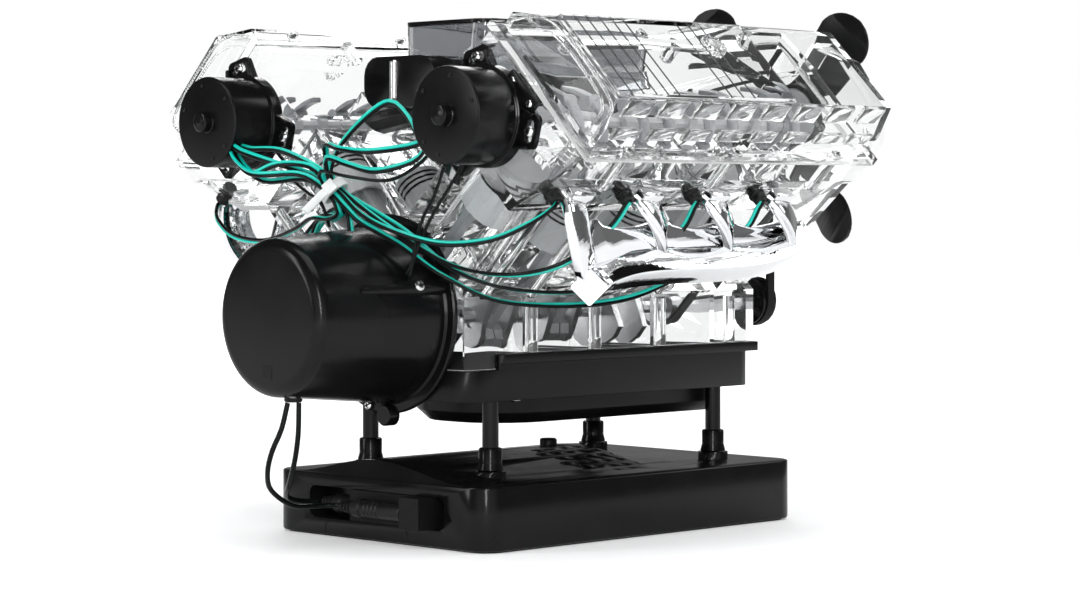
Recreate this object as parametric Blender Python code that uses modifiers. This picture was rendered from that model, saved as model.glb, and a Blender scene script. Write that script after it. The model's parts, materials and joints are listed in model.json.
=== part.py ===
"""A transparent four stroke V8 teaching engine on a black stand.

Metres, +Z up. The origin is the centre of the stand's underside. +X is the fan end, -X the motor cover
end, and the two banks lean towards -Y (near) and +Y (far). Pieces of a bank are built upright in the
bank's own axes (x along the crankshaft, z along the cylinders, from the crankshaft's axis) and hang
under an empty that is tilted to the bank's angle.
"""
import math

import bmesh
import bpy
from mathutils import Matrix, Vector

# Clearances and cutting overruns
GAP = 0.0003
OVERRUN = 0.002
FUSE = 0.0005
MERGE = 0.00005

# Stand
BASE_LENGTH = 0.214
BASE_WIDTH = 0.146
DECK_HEIGHT = 0.0295
BASE_CORNER = 0.012
BASE_EDGE = 0.004
BASE_WALL = 0.0025
BASE_LIFT = 0.0008
FLOOR_THICK = 0.002
MOUND_RISE = 0.0085
MOUND_SHOULDER = 0.013
MOUND_HALF = BASE_WIDTH / 2 - MOUND_SHOULDER
MOUND_FRONT_X = 0.036
MOUND_RAMP = 0.012
POST_PAD_RADIUS = 0.0075
POST_PAD_TOP = 0.0332
SPEAKER_RADIUS = 0.024
SPEAKER_INSET = 0.0195
SPEAKER_CENTRE = (0.005, -(BASE_WIDTH / 2 - BASE_WALL - SPEAKER_INSET - SPEAKER_RADIUS))
SPEAKER_MAGNET_RADIUS = 0.011
SPEAKER_MAGNET_TOP = 0.011
SPEAKER_TOP = 0.0235
SPEAKER_RIM = 0.0015
GRILLE_MARGIN = 0.006
GRILLE_RADIUS = SPEAKER_RADIUS + GRILLE_MARGIN
GRILLE_PITCH = 0.0095
GRILLE_HOLE = 0.0023
BUTTON_SHIFT = 0.007
BUTTON_CLEAR = 0.003
BUTTON_CENTRE = (SPEAKER_CENTRE[0] + BUTTON_SHIFT, SPEAKER_CENTRE[1] + GRILLE_RADIUS + BUTTON_CLEAR)
BUTTON_RADIUS = 0.0042
BUTTON_TOP = 0.0408
BUTTON_LENGTH = 0.012

# Sockets and plugs in the stand's rear recess
RECESS_LOW = 0.0085
RECESS_HIGH = 0.0235
RECESS_DEPTH = 0.0125
SOCKET_RADIUS = 0.0030
SOCKET_DEPTH = 0.006
PLUG_Z = 0.0158
PLUG_RADIUS = 0.0040
COLLAR_RADIUS = 0.0045
COLLAR_LENGTH = 0.005
PLUG_PIN_RADIUS = 0.0026
PLUG_PIN_LENGTH = 0.005
RELIEF_LENGTH = 0.010
RELIEF_RADIUS = 0.0030
RELIEF_TIP = 0.0018
RELIEF_RIB = 0.0006
RELIEF_RIBS = 4
OUTER_PLUG_PROUD = 0.0055
OUTER_PLUG_X = -BASE_LENGTH / 2 - OUTER_PLUG_PROUD
INNER_PLUG_DEPTH = 0.0035
INNER_PLUG_X = -BASE_LENGTH / 2 + INNER_PLUG_DEPTH
OUTER_PLUG_FACE = -0.0255
INNER_PLUG_FACE = 0.0170
OUTER_PLUG_BODY = 0.027
INNER_PLUG_BODY = 0.0075
RECESS_END_ROOM = 0.0065
RECESS_HALF = INNER_PLUG_FACE + INNER_PLUG_BODY + COLLAR_LENGTH + RELIEF_LENGTH + RECESS_END_ROOM
SOCKET_WALL = 0.013
SOCKET_PROUD = 0.009

# Posts
SLEEVE_RADIUS = 0.0054
SLEEVE_FOOT = 0.0062
SLEEVE_FLARE = 0.003
SLEEVE_TOP = 0.044
POST_RADIUS = 0.0038
POST_REAR_CLEAR = 0.0052
POST_FRONT_INSET = 0.014
POST_SIDE_CLEAR = 0.0007

# Crankshaft line and banks
CRANK_Z = 0.1048
BANK_ANGLE = math.radians(45.0)
SIDES = (("near", -1), ("far", 1))
CYLINDERS = 4
FIRST_THROW_X = -0.077
THROW_SPACING = 0.043
ROD_THICK = 0.007
ROD_OFFSET = 0.004
THROW = 0.009
JOURNAL_RADIUS = 0.0040
CRANKPIN_RADIUS = 0.0035
PIN_HALF = 0.008
WEB_THICK = 0.004
WEB_PIN_ROUND = 0.0062
COUNTERWEIGHT = 0.0175
COUNTERWEIGHT_HALF_DEG = 58.0
WEB_PIN_HALF_DEG = 80.0
DOWEL_RADIUS = 0.0020
DOWEL_THICK = 0.0022
BEARING_PLAY = 0.0003

# Oil pan and crankcase
CASE_HALF = 0.048
CASE_REAR = -0.097
CASE_FRONT = 0.102
CASE_WALL = 0.0025
CASE_END_WALL = 0.003
CASE_LOW = 0.0873
CASE_STEP_X = -0.075
CASE_STEP_LOW = 0.0803
ROOF_U = 0.0397
VALLEY_V = 0.024
MAIN_WEB = 0.003
ROOF_HOLE = 0.0140
BELT_WINDOW = 0.038
PAN_RIM_HALF = 0.0505
PAN_RIM_LOW = 0.0825
PAN_TRAY_HALF = 0.049
PAN_TRAY_LOW = 0.0655
PAN_WALL = 0.0025
PAN_CORNER = 0.010
SUMP_HALF = 0.0365
SUMP_REAR = -0.064
SUMP_FRONT = 0.094
SUMP_LOW = 0.053
SUMP_REAR_CORNER = 0.030
SUMP_FRONT_CORNER = 0.006
SUMP_CHAMFER = 0.010
POST_X = (SUMP_REAR - POST_RADIUS - POST_REAR_CLEAR, SUMP_FRONT - POST_FRONT_INSET)
POST_Y = SUMP_HALF + POST_RADIUS + POST_SIDE_CLEAR

# Cylinder blocks, pistons and rods
BLOCK_HALF_OUT = 0.028
BLOCK_FRONT = 0.075
DECK_U = 0.098
BORE = 0.0143
PISTON_RADIUS = 0.0140
PISTON_WALL = 0.0014
PISTON_CROWN = 0.002
PISTON_MID_TOP = 0.088
PISTON_LENGTH = 0.026
ROD_LENGTH = 0.068
ROD_BIG = 0.0062
ROD_SMALL = 0.0030
ROD_SHANK = 0.0022

# Cylinder heads and camshafts
HEAD_REAR = -0.111
HEAD_FRONT = 0.083
HEAD_TOP = 0.1457
HEAD_IN = 0.030
HEAD_RIM_IN = 0.033
HEAD_FOOT_OUT = 0.031
HEAD_RIM_OUT = 0.0465
HEAD_SIDE_OUT = 0.0435
HEAD_RIM_LOW = 0.131
HEAD_RIM_STEP = 0.0015
HEAD_WALL = 0.0028
HEAD_DECK = 0.0045
CAM_U = 0.1205
CAM_V = -0.0051
CAM_RADIUS = 0.0025
CAM_LOBE = 0.0045
CAM_LIFT = 0.003
CAM_LOBE_THICK = 0.005
CAM_LOBE_SPACING = 0.016
CAM_NOSE_SHARE = 0.6
CAM_THROW_DEG = 90.0
CAM_PAIR_DEG = 110.0
CAM_WEB = 0.003
CAM_PULLEY = 0.016
CAM_REAR = -0.122
CAM_ROTOR = 0.012
CAM_ROTOR_THICK = 0.003
CAM_ROTOR_SHARE = 0.8
BOOT_FIRST_X = -0.104
BOOT_SPACING = 0.045
BOOT_U = 0.1175
BOOT_RADIUS = 0.0034
BOOT_BASE_V = 0.034
BOOT_TOP_V = 0.0445

# Valve covers
COVER_IN = 0.036
COVER_OUT = 0.0495
COVER_BOTTOM = 0.146
FLANGE_TOP = 0.1505
COVER_WALL_IN = 0.032
COVER_WALL_OUT = 0.0455
COVER_SHOULDER_OUT = 0.0445
COVER_SHOULDER = 0.1615
COVER_LEDGE_OUT = 0.0405
COVER_TOP = 0.175
COVER_TOP_IN = 0.011
COVER_SLOPE = 0.158
COVER_REAR = -0.106
COVER_FRONT = 0.079
COVER_SKIN = 0.002
COVER_STEP = 0.0012
COVER_STEP_X = 0.012
OIL_CAP_X = -0.020
OIL_CAP_V = 0.006
OIL_CAP_RADIUS = 0.006
OIL_CAP_HEIGHT = 0.003

# Timing cover and belt
TIMING_REAR = 0.0833
TIMING_FRONT = 0.098
TIMING_SKIN = 0.002
TIMING_FOOT_U = 0.0405
TIMING_FOOT_V = 0.025
TIMING_WAIST_U = 0.088
TIMING_WAIST_V = 0.034
TIMING_SIDE_U = 0.150
TIMING_SIDE_V = 0.038
TIMING_NOSE_U = 0.163
TIMING_NOSE_V = 0.026
TIMING_CROWN_U = 0.167
TIMING_CROWN_V = 0.000
TIMING_INNER_U = 0.160
TIMING_INNER_V = -0.018
TIMING_TOP = 0.217
CRANK_SPROCKET = 0.008
SPROCKET_REAR = 0.0862
SPROCKET_FRONT = 0.0938
BELT_THICK = 0.0016
BELT_WIDTH = 0.006

# Fan, its belt and its housing
FAN_Z = 0.197
FAN_X = 0.172
FAN_RADIUS = 0.078
FAN_HUB = 0.009
FAN_HUB_LENGTH = 0.012
FAN_NOSE_SHARE = 0.7
FAN_BLADES = 4
FAN_START_DEG = 49.0
FAN_PITCH_DEG = 22.0
BLADE_THICK = 0.0016
BLADE_ROOT = 0.007
BLADE_WIDTH = 0.015
BLADE_SPREAD_DEG = 20.0
FAN_PULLEY = 0.011
PULLEY_FLANGE = 0.0125
PULLEY_REAR = 0.152
PULLEY_WIDTH = 0.010
FAN_BELT_WIDTH = 0.005
FAN_BELT_THICK = 0.0018
FAN_SHAFT = 0.0028
SNOUT_ROOT = 0.016
SNOUT_TIP = 0.008
SNOUT_FOOT = 0.002
SNOUT_END = 0.149
PULLEY_HUB = 0.0065
NOSE_END = 0.165

# Motor cover, motor and flywheel
COVER_BACK = -0.171
COVER_BACK_RADIUS = 0.0356
COVER_BARREL_X = -0.105
COVER_ROUND = 0.006
MOTOR_COVER_SKIN = 0.002
BELL_INSET = 0.002
BELL_FLANGE = CASE_HALF - BELL_INSET
BELL_FLANGE_WIDTH = 0.0052
COVER_BARREL = BELL_FLANGE - BELL_FLANGE_WIDTH
BELL_FLANGE_THICK = 0.003
BELL_FRONT = -0.0975
LUG_RADIUS = 0.005
LUG_OFFSET = 0.0005
LUG_CIRCLE = BELL_FLANGE + LUG_OFFSET
LUG_ANGLES_DEG = (155.0, 268.0, 25.0)
MOTOR_RADIUS = 0.0105
MOTOR_NOSE_SHARE = 0.9
MOTOR_LENGTH = 0.042
MOTOR_STANDOFF = 0.0015
PINION_RADIUS = 0.0036
FLYWHEEL_RADIUS = 0.0160
GEAR_REAR = -0.110
GEAR_THICK = 0.005
GEAR_TOOTH = 0.0010
GEAR_CLEAR = 0.0005
TOOTH_SHARES = ((0.0, 1), (0.18, 0), (0.5, 0), (0.68, 1))
FLYWHEEL_TEETH = 36
PINION_TEETH = 8
CRANK_REAR = -0.113
LEAD_GLAND = (-0.150, 0.007)
GLAND_RADIUS = 0.0042
GLAND_LENGTH = 0.003

# Distributors
DISTRIBUTOR_REAR = -0.1395
DISTRIBUTOR_FRONT = -0.1113
DISTRIBUTOR_RADIUS = 0.0213
DISTRIBUTOR_WALL = 0.0016
DISTRIBUTOR_COLLAR = 0.0226
DISTRIBUTOR_COLLAR_LENGTH = 0.006
DISTRIBUTOR_BOSS = 0.0048
DISTRIBUTOR_BOSS_END = -0.144
EAR_CIRCLE = 0.0268
EAR_RADIUS = 0.0042
EAR_SPREAD = 0.0040
EAR_ROOT_SHARE = 1.1
EAR_HOLE = 0.0018
EAR_THICK = 0.0026
EAR_ANGLES_DEG = (75.0, 195.0, 315.0)

# Intake and exhaust
PLENUM_HALF = 0.014
PLENUM_LOW = 0.190
PLENUM_HIGH = 0.2142
PLENUM_REAR = -0.066
PLENUM_FRONT = 0.050
RUNNER_RADIUS = 0.0062
RUNNER_U = 0.1160
RUNNER_INNER_Z = 0.203
RUNNER_GATHER_SHARE = 0.72
AIR_BOX_REAR = -0.065
AIR_BOX_FRONT = 0.050
AIR_BOX_HALF = 0.028
AIR_BOX_LOW = 0.2145
AIR_BOX_HIGH = 0.241
AIR_BOX_SKIN = 0.002
AIR_BOX_CORNER = 0.008
THROTTLE_REAR = -0.092
THROTTLE_HALF = 0.024
THROTTLE_LOW = 0.200
THROTTLE_HIGH = 0.2235
THROTTLE_PIN = 0.0035
THROTTLE_CORNER = 0.009
PIPE_DEPTH = 0.0086
FLANGE_U = 0.1175
FLANGE_V_GAP = 0.0004
PORT_WIDTH = 0.013
RUNNER_BAR_WIDTH = 0.0125
RUNNER_BAR_THICK = 0.005
PORT_HEIGHT = 0.010
PORT_THICK = 0.006
PORT_FIRST_X = -0.0915
PORT_SHIFT = 0.016
PIPE_ROUTE = (
    (-0.0830, -0.1135, 0.1190), (-0.0760, -0.1075, 0.1200), (-0.0660, -0.1060, 0.1225),
    (-0.0520, -0.1080, 0.1258), (-0.0300, -0.1100, 0.1272), (0.0000, -0.1100, 0.1275),
    (0.0300, -0.1100, 0.1290), (0.0520, -0.1085, 0.1330), (0.0700, -0.1065, 0.1400),
)

# Wiring
WIRE_DIAMETER = 0.0022
WIRE_STEP = 0.0170
MOTOR_LEAD_DIAMETER = 0.0024
LEAD_STEP_SHARE = 2.6
TIE_CENTRE = (-0.1330, -0.0015, 0.1615)
TIE_DIRECTION = (0.30, -0.62, -0.72)
TIE_CORE = 0.0050
TIE_LENGTH = 0.010
TIE_OUTER = 0.0072
TIE_WIDTH = 0.006
NEAR_STARTS = (
    ((-0.1367, -0.0682, 0.1809), (-0.1385, -0.0600, 0.1740), (-0.1420, -0.0400, 0.1700),
     (-0.1405, -0.0200, 0.1730), (-0.1395, -0.0040, 0.1760)),
    ((-0.1334, -0.0664, 0.1831), (-0.1320, -0.0580, 0.1830), (-0.1305, -0.0480, 0.1940),
     (-0.1305, -0.0360, 0.2005), (-0.1320, -0.0200, 0.1930), (-0.1335, -0.0050, 0.1800)),
    ((-0.1367, -0.0664, 0.1831), (-0.1390, -0.0580, 0.1805), (-0.1450, -0.0380, 0.1785),
     (-0.1440, -0.0180, 0.1800), (-0.1375, -0.0015, 0.1820), (-0.1325, 0.0035, 0.1750)),
    ((-0.1334, -0.0682, 0.1809), (-0.1330, -0.0610, 0.1745), (-0.1350, -0.0420, 0.1660),
     (-0.1385, -0.0180, 0.1675), (-0.1420, -0.0040, 0.1700)),
)
NEAR_TURNS = (
    ((-0.1295, -0.0170, 0.1505),),
    ((-0.1250, -0.0185, 0.1505),),
    ((-0.1210, -0.0175, 0.1510),),
    ((-0.1315, -0.0120, 0.1510), (-0.1280, -0.0150, 0.1470)),
)
FAR_STARTS = (
    ((-0.1367, 0.0682, 0.1809), (-0.1390, 0.0600, 0.1745), (-0.1450, 0.0400, 0.1690),
     (-0.1400, 0.0150, 0.1690)),
    ((-0.1367, 0.0664, 0.1831), (-0.1385, 0.0580, 0.1800), (-0.1400, 0.0380, 0.1755),
     (-0.1330, 0.0150, 0.1690)),
    ((-0.1334, 0.0664, 0.1831), (-0.1330, 0.0580, 0.1810), (-0.1310, 0.0380, 0.1800),
     (-0.1290, 0.0150, 0.1720)),
    ((-0.1334, 0.0682, 0.1809), (-0.1335, 0.0620, 0.1735), (-0.1370, 0.0420, 0.1660),
     (-0.1365, 0.0160, 0.1670)),
)
FAR_TURNS = (
    ((-0.1338, -0.0060, 0.1512), (-0.1315, 0.0050, 0.1486), (-0.1290, 0.0190, 0.1488)),
    ((-0.1276, -0.0033, 0.1518), (-0.1246, 0.0055, 0.1496), (-0.1210, 0.0190, 0.1500)),
    ((-0.1248, -0.0040, 0.1540), (-0.1206, 0.0050, 0.1524), (-0.1165, 0.0190, 0.1520)),
    ((-0.1310, -0.0038, 0.1508), (-0.1283, 0.0050, 0.1482), (-0.1250, 0.0180, 0.1476)),
)
LEAD_ENDS = (
    ((-0.1260, 0.0340, 0.1435), (-0.1220, 0.0600, 0.1380), (-0.1180, 0.0880, 0.1400),
     (-0.1120, 0.1080, 0.1480), (-0.1060, 0.1150, 0.1545)),
    ((-0.1195, 0.0330, 0.1410), (-0.1100, 0.0560, 0.1280), (-0.0960, 0.0780, 0.1240),
     (-0.0780, 0.0930, 0.1290), (-0.0650, 0.1080, 0.1440)),
    ((-0.1155, 0.0310, 0.1425), (-0.1060, 0.0520, 0.1260), (-0.0860, 0.0720, 0.1170),
     (-0.0480, 0.0860, 0.1180), (-0.0200, 0.1060, 0.1400)),
    ((-0.1195, 0.0300, 0.1376), (-0.1090, 0.0490, 0.1230), (-0.0860, 0.0690, 0.1110),
     (-0.0250, 0.0850, 0.1130), (0.0230, 0.1050, 0.1390)),
)
FEED_START = (
    (-0.1450, 0.0400, 0.1690), (-0.1420, 0.0270, 0.1735), (-0.1375, 0.0100, 0.1725),
)
FEED_END = (
    (-0.1305, -0.0083, 0.1525), (-0.1305, -0.0102, 0.1431),
)
BUNDLE_RADIUS = 0.0033
NEAR_PLACES = (3, 2, 1, 4)
FAR_PLACES = (5, 7, 0, 6)
NOTCH_DIRECTION_DEG = -38.7
NOTCH_WIDTH = 0.009
NOTCH_REAR = -0.1390
NOTCH_FRONT = -0.1315

INNER_LEAD = (
    (-0.1480, 0.0055, 0.0659), (-0.1480, 0.0060, 0.0520), (-0.1470, 0.0095, 0.0400),
    (-0.1420, 0.0190, 0.0290), (-0.1330, 0.0320, 0.0215), (-0.1220, 0.0410, 0.0180),
    (-0.1130, 0.0435, 0.0163), (-0.1065, 0.0425, 0.0158), (-0.1035, 0.0400, 0.0158),
    (-0.1035, 0.0398, 0.0158),
)
OUTER_LEAD = (
    (-0.1520, 0.0085, 0.0659), (-0.1545, 0.0100, 0.0540), (-0.1575, 0.0130, 0.0440),
    (-0.1560, 0.0180, 0.0340), (-0.1480, 0.0250, 0.0250), (-0.1340, 0.0270, 0.0170),
    (-0.1210, 0.0260, 0.0158), (-0.1140, 0.0225, 0.0158), (-0.1125, 0.0168, 0.0158),
)

# Counts of sides and steps
ROUND = 20
SMALL_ROUND = 12
TINY_ROUND = 8
CORNER_STEPS = 4
EDGE_STEPS = 3
SHARP_DEG = 35.0
BEVEL_DEG = 50.0
PISTON_ROUND = 16
LOBE_ROUND = 7
ROD_BIG_STEPS = 7
ROD_SMALL_STEPS = 4

parts = None
cutters = None


def clear_scene():
    """Removes what the scene holds."""
    for obj in list(bpy.data.objects):
        bpy.data.objects.remove(obj)


def make_collections():
    """Makes the collection of parts and the one of cutters."""
    global parts, cutters
    parts = bpy.data.collections.new("four_stroke_engine_model")
    cutters = bpy.data.collections.new("cutters")
    bpy.context.scene.collection.children.link(parts)
    bpy.context.scene.collection.children.link(cutters)


def finish(name, colour, roughness, metallic=0.0, alpha=1.0):
    """A plain material with the given colour, roughness, metallic value and alpha."""
    material = bpy.data.materials.get(name)
    if material is None:
        material = bpy.data.materials.new(name)
        material.use_nodes = True
        shader = material.node_tree.nodes["Principled BSDF"]
        shader.inputs["Base Color"].default_value = (*colour, 1.0)
        shader.inputs["Roughness"].default_value = roughness
        shader.inputs["Metallic"].default_value = metallic
        shader.inputs["Alpha"].default_value = alpha
    return material


def black_gloss():
    return finish("black_gloss", (0.012, 0.012, 0.013), 0.25)


def black_matte():
    return finish("black_matte", (0.02, 0.02, 0.021), 0.55)


def clear():
    return finish("clear", (0.93, 0.95, 0.95), 0.05, alpha=0.3)


def smoke():
    return finish("smoke", (0.35, 0.36, 0.37), 0.08, alpha=0.5)


def chrome():
    return finish("chrome", (0.85, 0.86, 0.87), 0.06, metallic=1.0)


def grey():
    return finish("grey", (0.45, 0.46, 0.47), 0.35)


def steel():
    return finish("steel", (0.62, 0.62, 0.63), 0.3, metallic=1.0)


def black_rubber():
    return finish("black_rubber", (0.02, 0.02, 0.02), 0.7)


def teal():
    return finish("teal", (0.01, 0.45, 0.36), 0.35)


def white():
    return finish("white", (0.85, 0.86, 0.85), 0.4)


# Meshes

def mesh_of(bm, name="shape"):
    """Turns a bmesh into a mesh with its faces pointing out."""
    bmesh.ops.recalc_face_normals(bm, faces=bm.faces)
    mesh = bpy.data.meshes.new(name)
    bm.to_mesh(mesh)
    bm.free()
    return mesh


def box(low, high):
    """A box between two corners."""
    bm = bmesh.new()
    bmesh.ops.create_cube(bm, size=1.0)
    low, high = Vector(low), Vector(high)
    bmesh.ops.scale(bm, vec=high - low, verts=bm.verts)
    bmesh.ops.translate(bm, vec=(low + high) / 2, verts=bm.verts)
    return mesh_of(bm)


def rod_x(radius, x0, x1, y=0.0, z=0.0, sides=ROUND, tip=None):
    """A cylinder along X, or a cone where the end at x1 has the radius tip."""
    bm = bmesh.new()
    end = radius if tip is None else tip
    bmesh.ops.create_cone(bm, cap_ends=True, segments=sides, radius1=radius, radius2=end, depth=x1 - x0)
    bmesh.ops.rotate(bm, matrix=Matrix.Rotation(math.pi / 2, 3, "Y"), verts=bm.verts)
    bmesh.ops.translate(bm, vec=((x0 + x1) / 2, y, z), verts=bm.verts)
    return mesh_of(bm)


def rod_y(radius, y0, y1, x=0.0, z=0.0, sides=ROUND):
    """A cylinder along Y."""
    bm = bmesh.new()
    length = abs(y1 - y0)
    bmesh.ops.create_cone(bm, cap_ends=True, segments=sides, radius1=radius, radius2=radius, depth=length)
    bmesh.ops.rotate(bm, matrix=Matrix.Rotation(math.pi / 2, 3, "X"), verts=bm.verts)
    bmesh.ops.translate(bm, vec=(x, (y0 + y1) / 2, z), verts=bm.verts)
    return mesh_of(bm)


def rod_z(radius, z0, z1, x=0.0, y=0.0, sides=ROUND):
    """A cylinder along Z."""
    bm = bmesh.new()
    bmesh.ops.create_cone(bm, cap_ends=True, segments=sides, radius1=radius, radius2=radius, depth=z1 - z0)
    bmesh.ops.translate(bm, vec=(x, y, (z0 + z1) / 2), verts=bm.verts)
    return mesh_of(bm)


def made_mesh(obj):
    """The evaluated mesh of a helper object, welded and facing out. The helper is removed."""
    bpy.context.view_layer.update()
    depsgraph = bpy.context.evaluated_depsgraph_get()
    mesh = bpy.data.meshes.new_from_object(obj.evaluated_get(depsgraph))
    mesh.transform(obj.matrix_world)
    bpy.data.objects.remove(obj)
    bm = bmesh.new()
    bm.from_mesh(mesh)
    bmesh.ops.remove_doubles(bm, verts=bm.verts, dist=MERGE)
    bmesh.ops.recalc_face_normals(bm, faces=bm.faces)
    bm.to_mesh(mesh)
    bm.free()
    mesh.materials.clear()
    return mesh


def slab(outline, low, high):
    """A flat outline in XY, filled and extruded from low to high along Z."""
    curve = bpy.data.curves.new("outline", "CURVE")
    curve.dimensions = "2D"
    curve.fill_mode = "BOTH"
    curve.extrude = (high - low) / 2
    spline = curve.splines.new("POLY")
    spline.points.add(len(outline) - 1)
    for point, (a, b) in zip(spline.points, outline):
        point.co = (a, b, 0.0, 1.0)
    spline.use_cyclic_u = True
    obj = bpy.data.objects.new("outline", curve)
    bpy.context.scene.collection.objects.link(obj)
    obj.location.z = (low + high) / 2
    return made_mesh(obj)


def prism(outline, x0, x1):
    """A flat outline in YZ, filled and extruded from x0 to x1 along X."""
    mesh = slab(outline, x0, x1)
    turn = Matrix(((0, 0, 1, 0), (1, 0, 0, 0), (0, 1, 0, 0), (0, 0, 0, 1)))
    mesh.transform(turn)
    return mesh


def turned(profile, steps=ROUND):
    """A profile of (radius, height) from the top down its outer side, turned round Z."""
    curve_mesh = bpy.data.meshes.new("profile")
    points = [(radius, 0.0, height) for radius, height in profile]
    edges = [(i, i + 1) for i in range(len(points) - 1)]
    if profile[0][0] > 0 or profile[-1][0] > 0:
        edges.append((len(points) - 1, 0))
    curve_mesh.from_pydata(points, edges, [])
    obj = bpy.data.objects.new("profile", curve_mesh)
    bpy.context.scene.collection.objects.link(obj)
    screw = obj.modifiers.new("turn", "SCREW")
    screw.steps = screw.render_steps = steps
    screw.use_merge_vertices = True
    screw.merge_threshold = MERGE
    screw.use_smooth_shade = True
    return made_mesh(obj)


def turned_x(profile, steps=ROUND, y=0.0, z=0.0):
    """A profile of (radius, x) turned round an axis along X."""
    mesh = turned(profile, steps)
    mesh.transform(Matrix.Translation((0, y, z)) @ Matrix.Rotation(math.pi / 2, 4, "Y"))
    return mesh


def turned_along_x(profile, steps=ROUND, y=0.0, z=0.0):
    """A profile of (x, radius) pairs, from the front end back along the outer side."""
    return turned_x([(radius, x) for x, radius in profile], steps, y, z)


def smooth_route(route, step):
    """Points about a step apart on a smooth curve through the route's points."""
    knots = [Vector(p) for p in route]
    ends = [knots[0] * 2 - knots[1], *knots, knots[-1] * 2 - knots[-2]]
    points = []
    for a, b, c, d in zip(ends, ends[1:], ends[2:], ends[3:]):
        count = max(1, round((c - b).length / step))
        for i in range(count):
            t = i / count
            points.append(0.5 * (2 * b + (c - a) * t + (2 * a - 5 * b + 4 * c - d) * t ** 2
                                 + (3 * b - a - 3 * c + d) * t ** 3))
    points.append(knots[-1])
    return points


def tube(points, diameter, resolution=2):
    """A tube with closed ends along the points."""
    curve = bpy.data.curves.new("tube", "CURVE")
    curve.dimensions = "3D"
    curve.bevel_depth = diameter / 2
    curve.bevel_resolution = resolution
    curve.use_fill_caps = True
    curve.twist_mode = "Z_UP" if resolution == 0 else "MINIMUM"
    spline = curve.splines.new("POLY")
    spline.points.add(len(points) - 1)
    for point, place in zip(spline.points, points):
        point.co = (*place, 1.0)
    obj = bpy.data.objects.new("tube", curve)
    bpy.context.scene.collection.objects.link(obj)
    return made_mesh(obj)


# Outlines

def arc(centre, radius, start_deg, end_deg, steps):
    """Points on an arc, both ends included."""
    points = []
    for i in range(steps + 1):
        angle = math.radians(start_deg + (end_deg - start_deg) * i / steps)
        points.append((centre[0] + radius * math.cos(angle), centre[1] + radius * math.sin(angle)))
    return points


def rounded_box(low, high, radius, steps=CORNER_STEPS):
    """A rectangle's outline with round corners, anticlockwise. One radius, or four from the low corner on."""
    radii = radius if isinstance(radius, tuple) else (radius,) * 4
    corners = (
        (low[0] + radii[0], low[1] + radii[0], 180, 270, radii[0]),
        (high[0] - radii[1], low[1] + radii[1], 270, 360, radii[1]),
        (high[0] - radii[2], high[1] - radii[2], 0, 90, radii[2]),
        (low[0] + radii[3], high[1] - radii[3], 90, 180, radii[3]),
    )
    points = []
    for cx, cy, start, end, r in corners:
        points += arc((cx, cy), r, start, end, steps)
    return points


def hull_outline(circles, grow=0.0, steps=ROUND):
    """The convex outline round several circles of (y, z, radius), each grown by the same amount."""
    cloud = []
    for y, z, radius in circles:
        cloud += arc((y, z), radius + grow, 0, 360 - 360 / steps, steps - 1)
    cloud = sorted(set(cloud))

    def half(points):
        chain = []
        for p in points:
            while len(chain) > 1 and (
                (chain[-1][0] - chain[-2][0]) * (p[1] - chain[-2][1])
                - (chain[-1][1] - chain[-2][1]) * (p[0] - chain[-2][0])
            ) <= 0:
                chain.pop()
            chain.append(p)
        return chain

    lower, upper = half(cloud), half(cloud[::-1])
    return lower[:-1] + upper[:-1]


def toothed_outline(centre, radius, tooth, teeth):
    """The outline of a gear with square-topped teeth."""
    points = []
    for i in range(teeth):
        for share, depth in TOOTH_SHARES:
            angle = 2 * math.pi * (i + share) / teeth
            r = radius - depth * tooth
            points.append((centre[0] + r * math.cos(angle), centre[1] + r * math.sin(angle)))
    return points


# Objects

def anchor(name, location, tilt=0.0, parent=None):
    """An empty that carries pieces at a joint's axis or along a bank."""
    empty = bpy.data.objects.new(name, None)
    parts.objects.link(empty)
    empty.location = location
    empty.rotation_euler = (tilt, 0.0, 0.0)
    empty.parent = parent
    return empty


def add(name, mesh, material, parent=None, local=False):
    """Adds a part. Its mesh is in world places, or in its parent's own axes where local is set."""
    obj = bpy.data.objects.new(name, mesh)
    mesh.materials.append(material)
    parts.objects.link(obj)
    if parent is not None:
        obj.parent = parent
        if not local:
            bpy.context.view_layer.update()
            mesh.transform(parent.matrix_world.inverted())
    mesh.shade_smooth()
    mesh.set_sharp_from_angle(angle=math.radians(SHARP_DEG))
    return obj


def shape(obj, mesh, operation):
    """Cuts or joins a mesh, in the object's own axes, with a Boolean modifier."""
    tool = bpy.data.objects.new(obj.name + "_tool", mesh)
    cutters.objects.link(tool)
    tool.parent = obj
    tool.hide_render = True
    tool.display_type = "WIRE"
    modifier = obj.modifiers.new(operation.lower(), "BOOLEAN")
    modifier.operation = operation
    modifier.object = tool
    modifier.solver = "EXACT"
    return obj


def cut(obj, *meshes):
    for mesh in meshes:
        shape(obj, mesh, "DIFFERENCE")
    return obj


def join(obj, *meshes):
    for mesh in meshes:
        shape(obj, mesh, "UNION")
    return obj


def round_edges(obj, width, segments=2, angle_deg=BEVEL_DEG):
    """Rounds the sharp edges of an object."""
    bevel = obj.modifiers.new("round", "BEVEL")
    bevel.width = width
    bevel.segments = segments
    bevel.limit_method = "ANGLE"
    bevel.angle_limit = math.radians(angle_deg)
    return obj


# Places

def throw_x(index):
    return FIRST_THROW_X + THROW_SPACING * index


def bank_point(side, u, v):
    """The (y, z) place of a point u along a bank's cylinders and v outwards."""
    return (side * (u + v) * math.sin(BANK_ANGLE), CRANK_Z + (u - v) * math.cos(BANK_ANGLE))


def bank_matrix(side):
    """From a bank's own axes to world places."""
    return Matrix.Translation((0, 0, CRANK_Z)) @ Matrix.Rotation(-side * BANK_ANGLE, 4, "X")


def main_webs():
    """The middles of the crankcase's bearing webs along X."""
    return [throw_x(i) + THROW_SPACING / 2 for i in range(CYLINDERS)]


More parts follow.
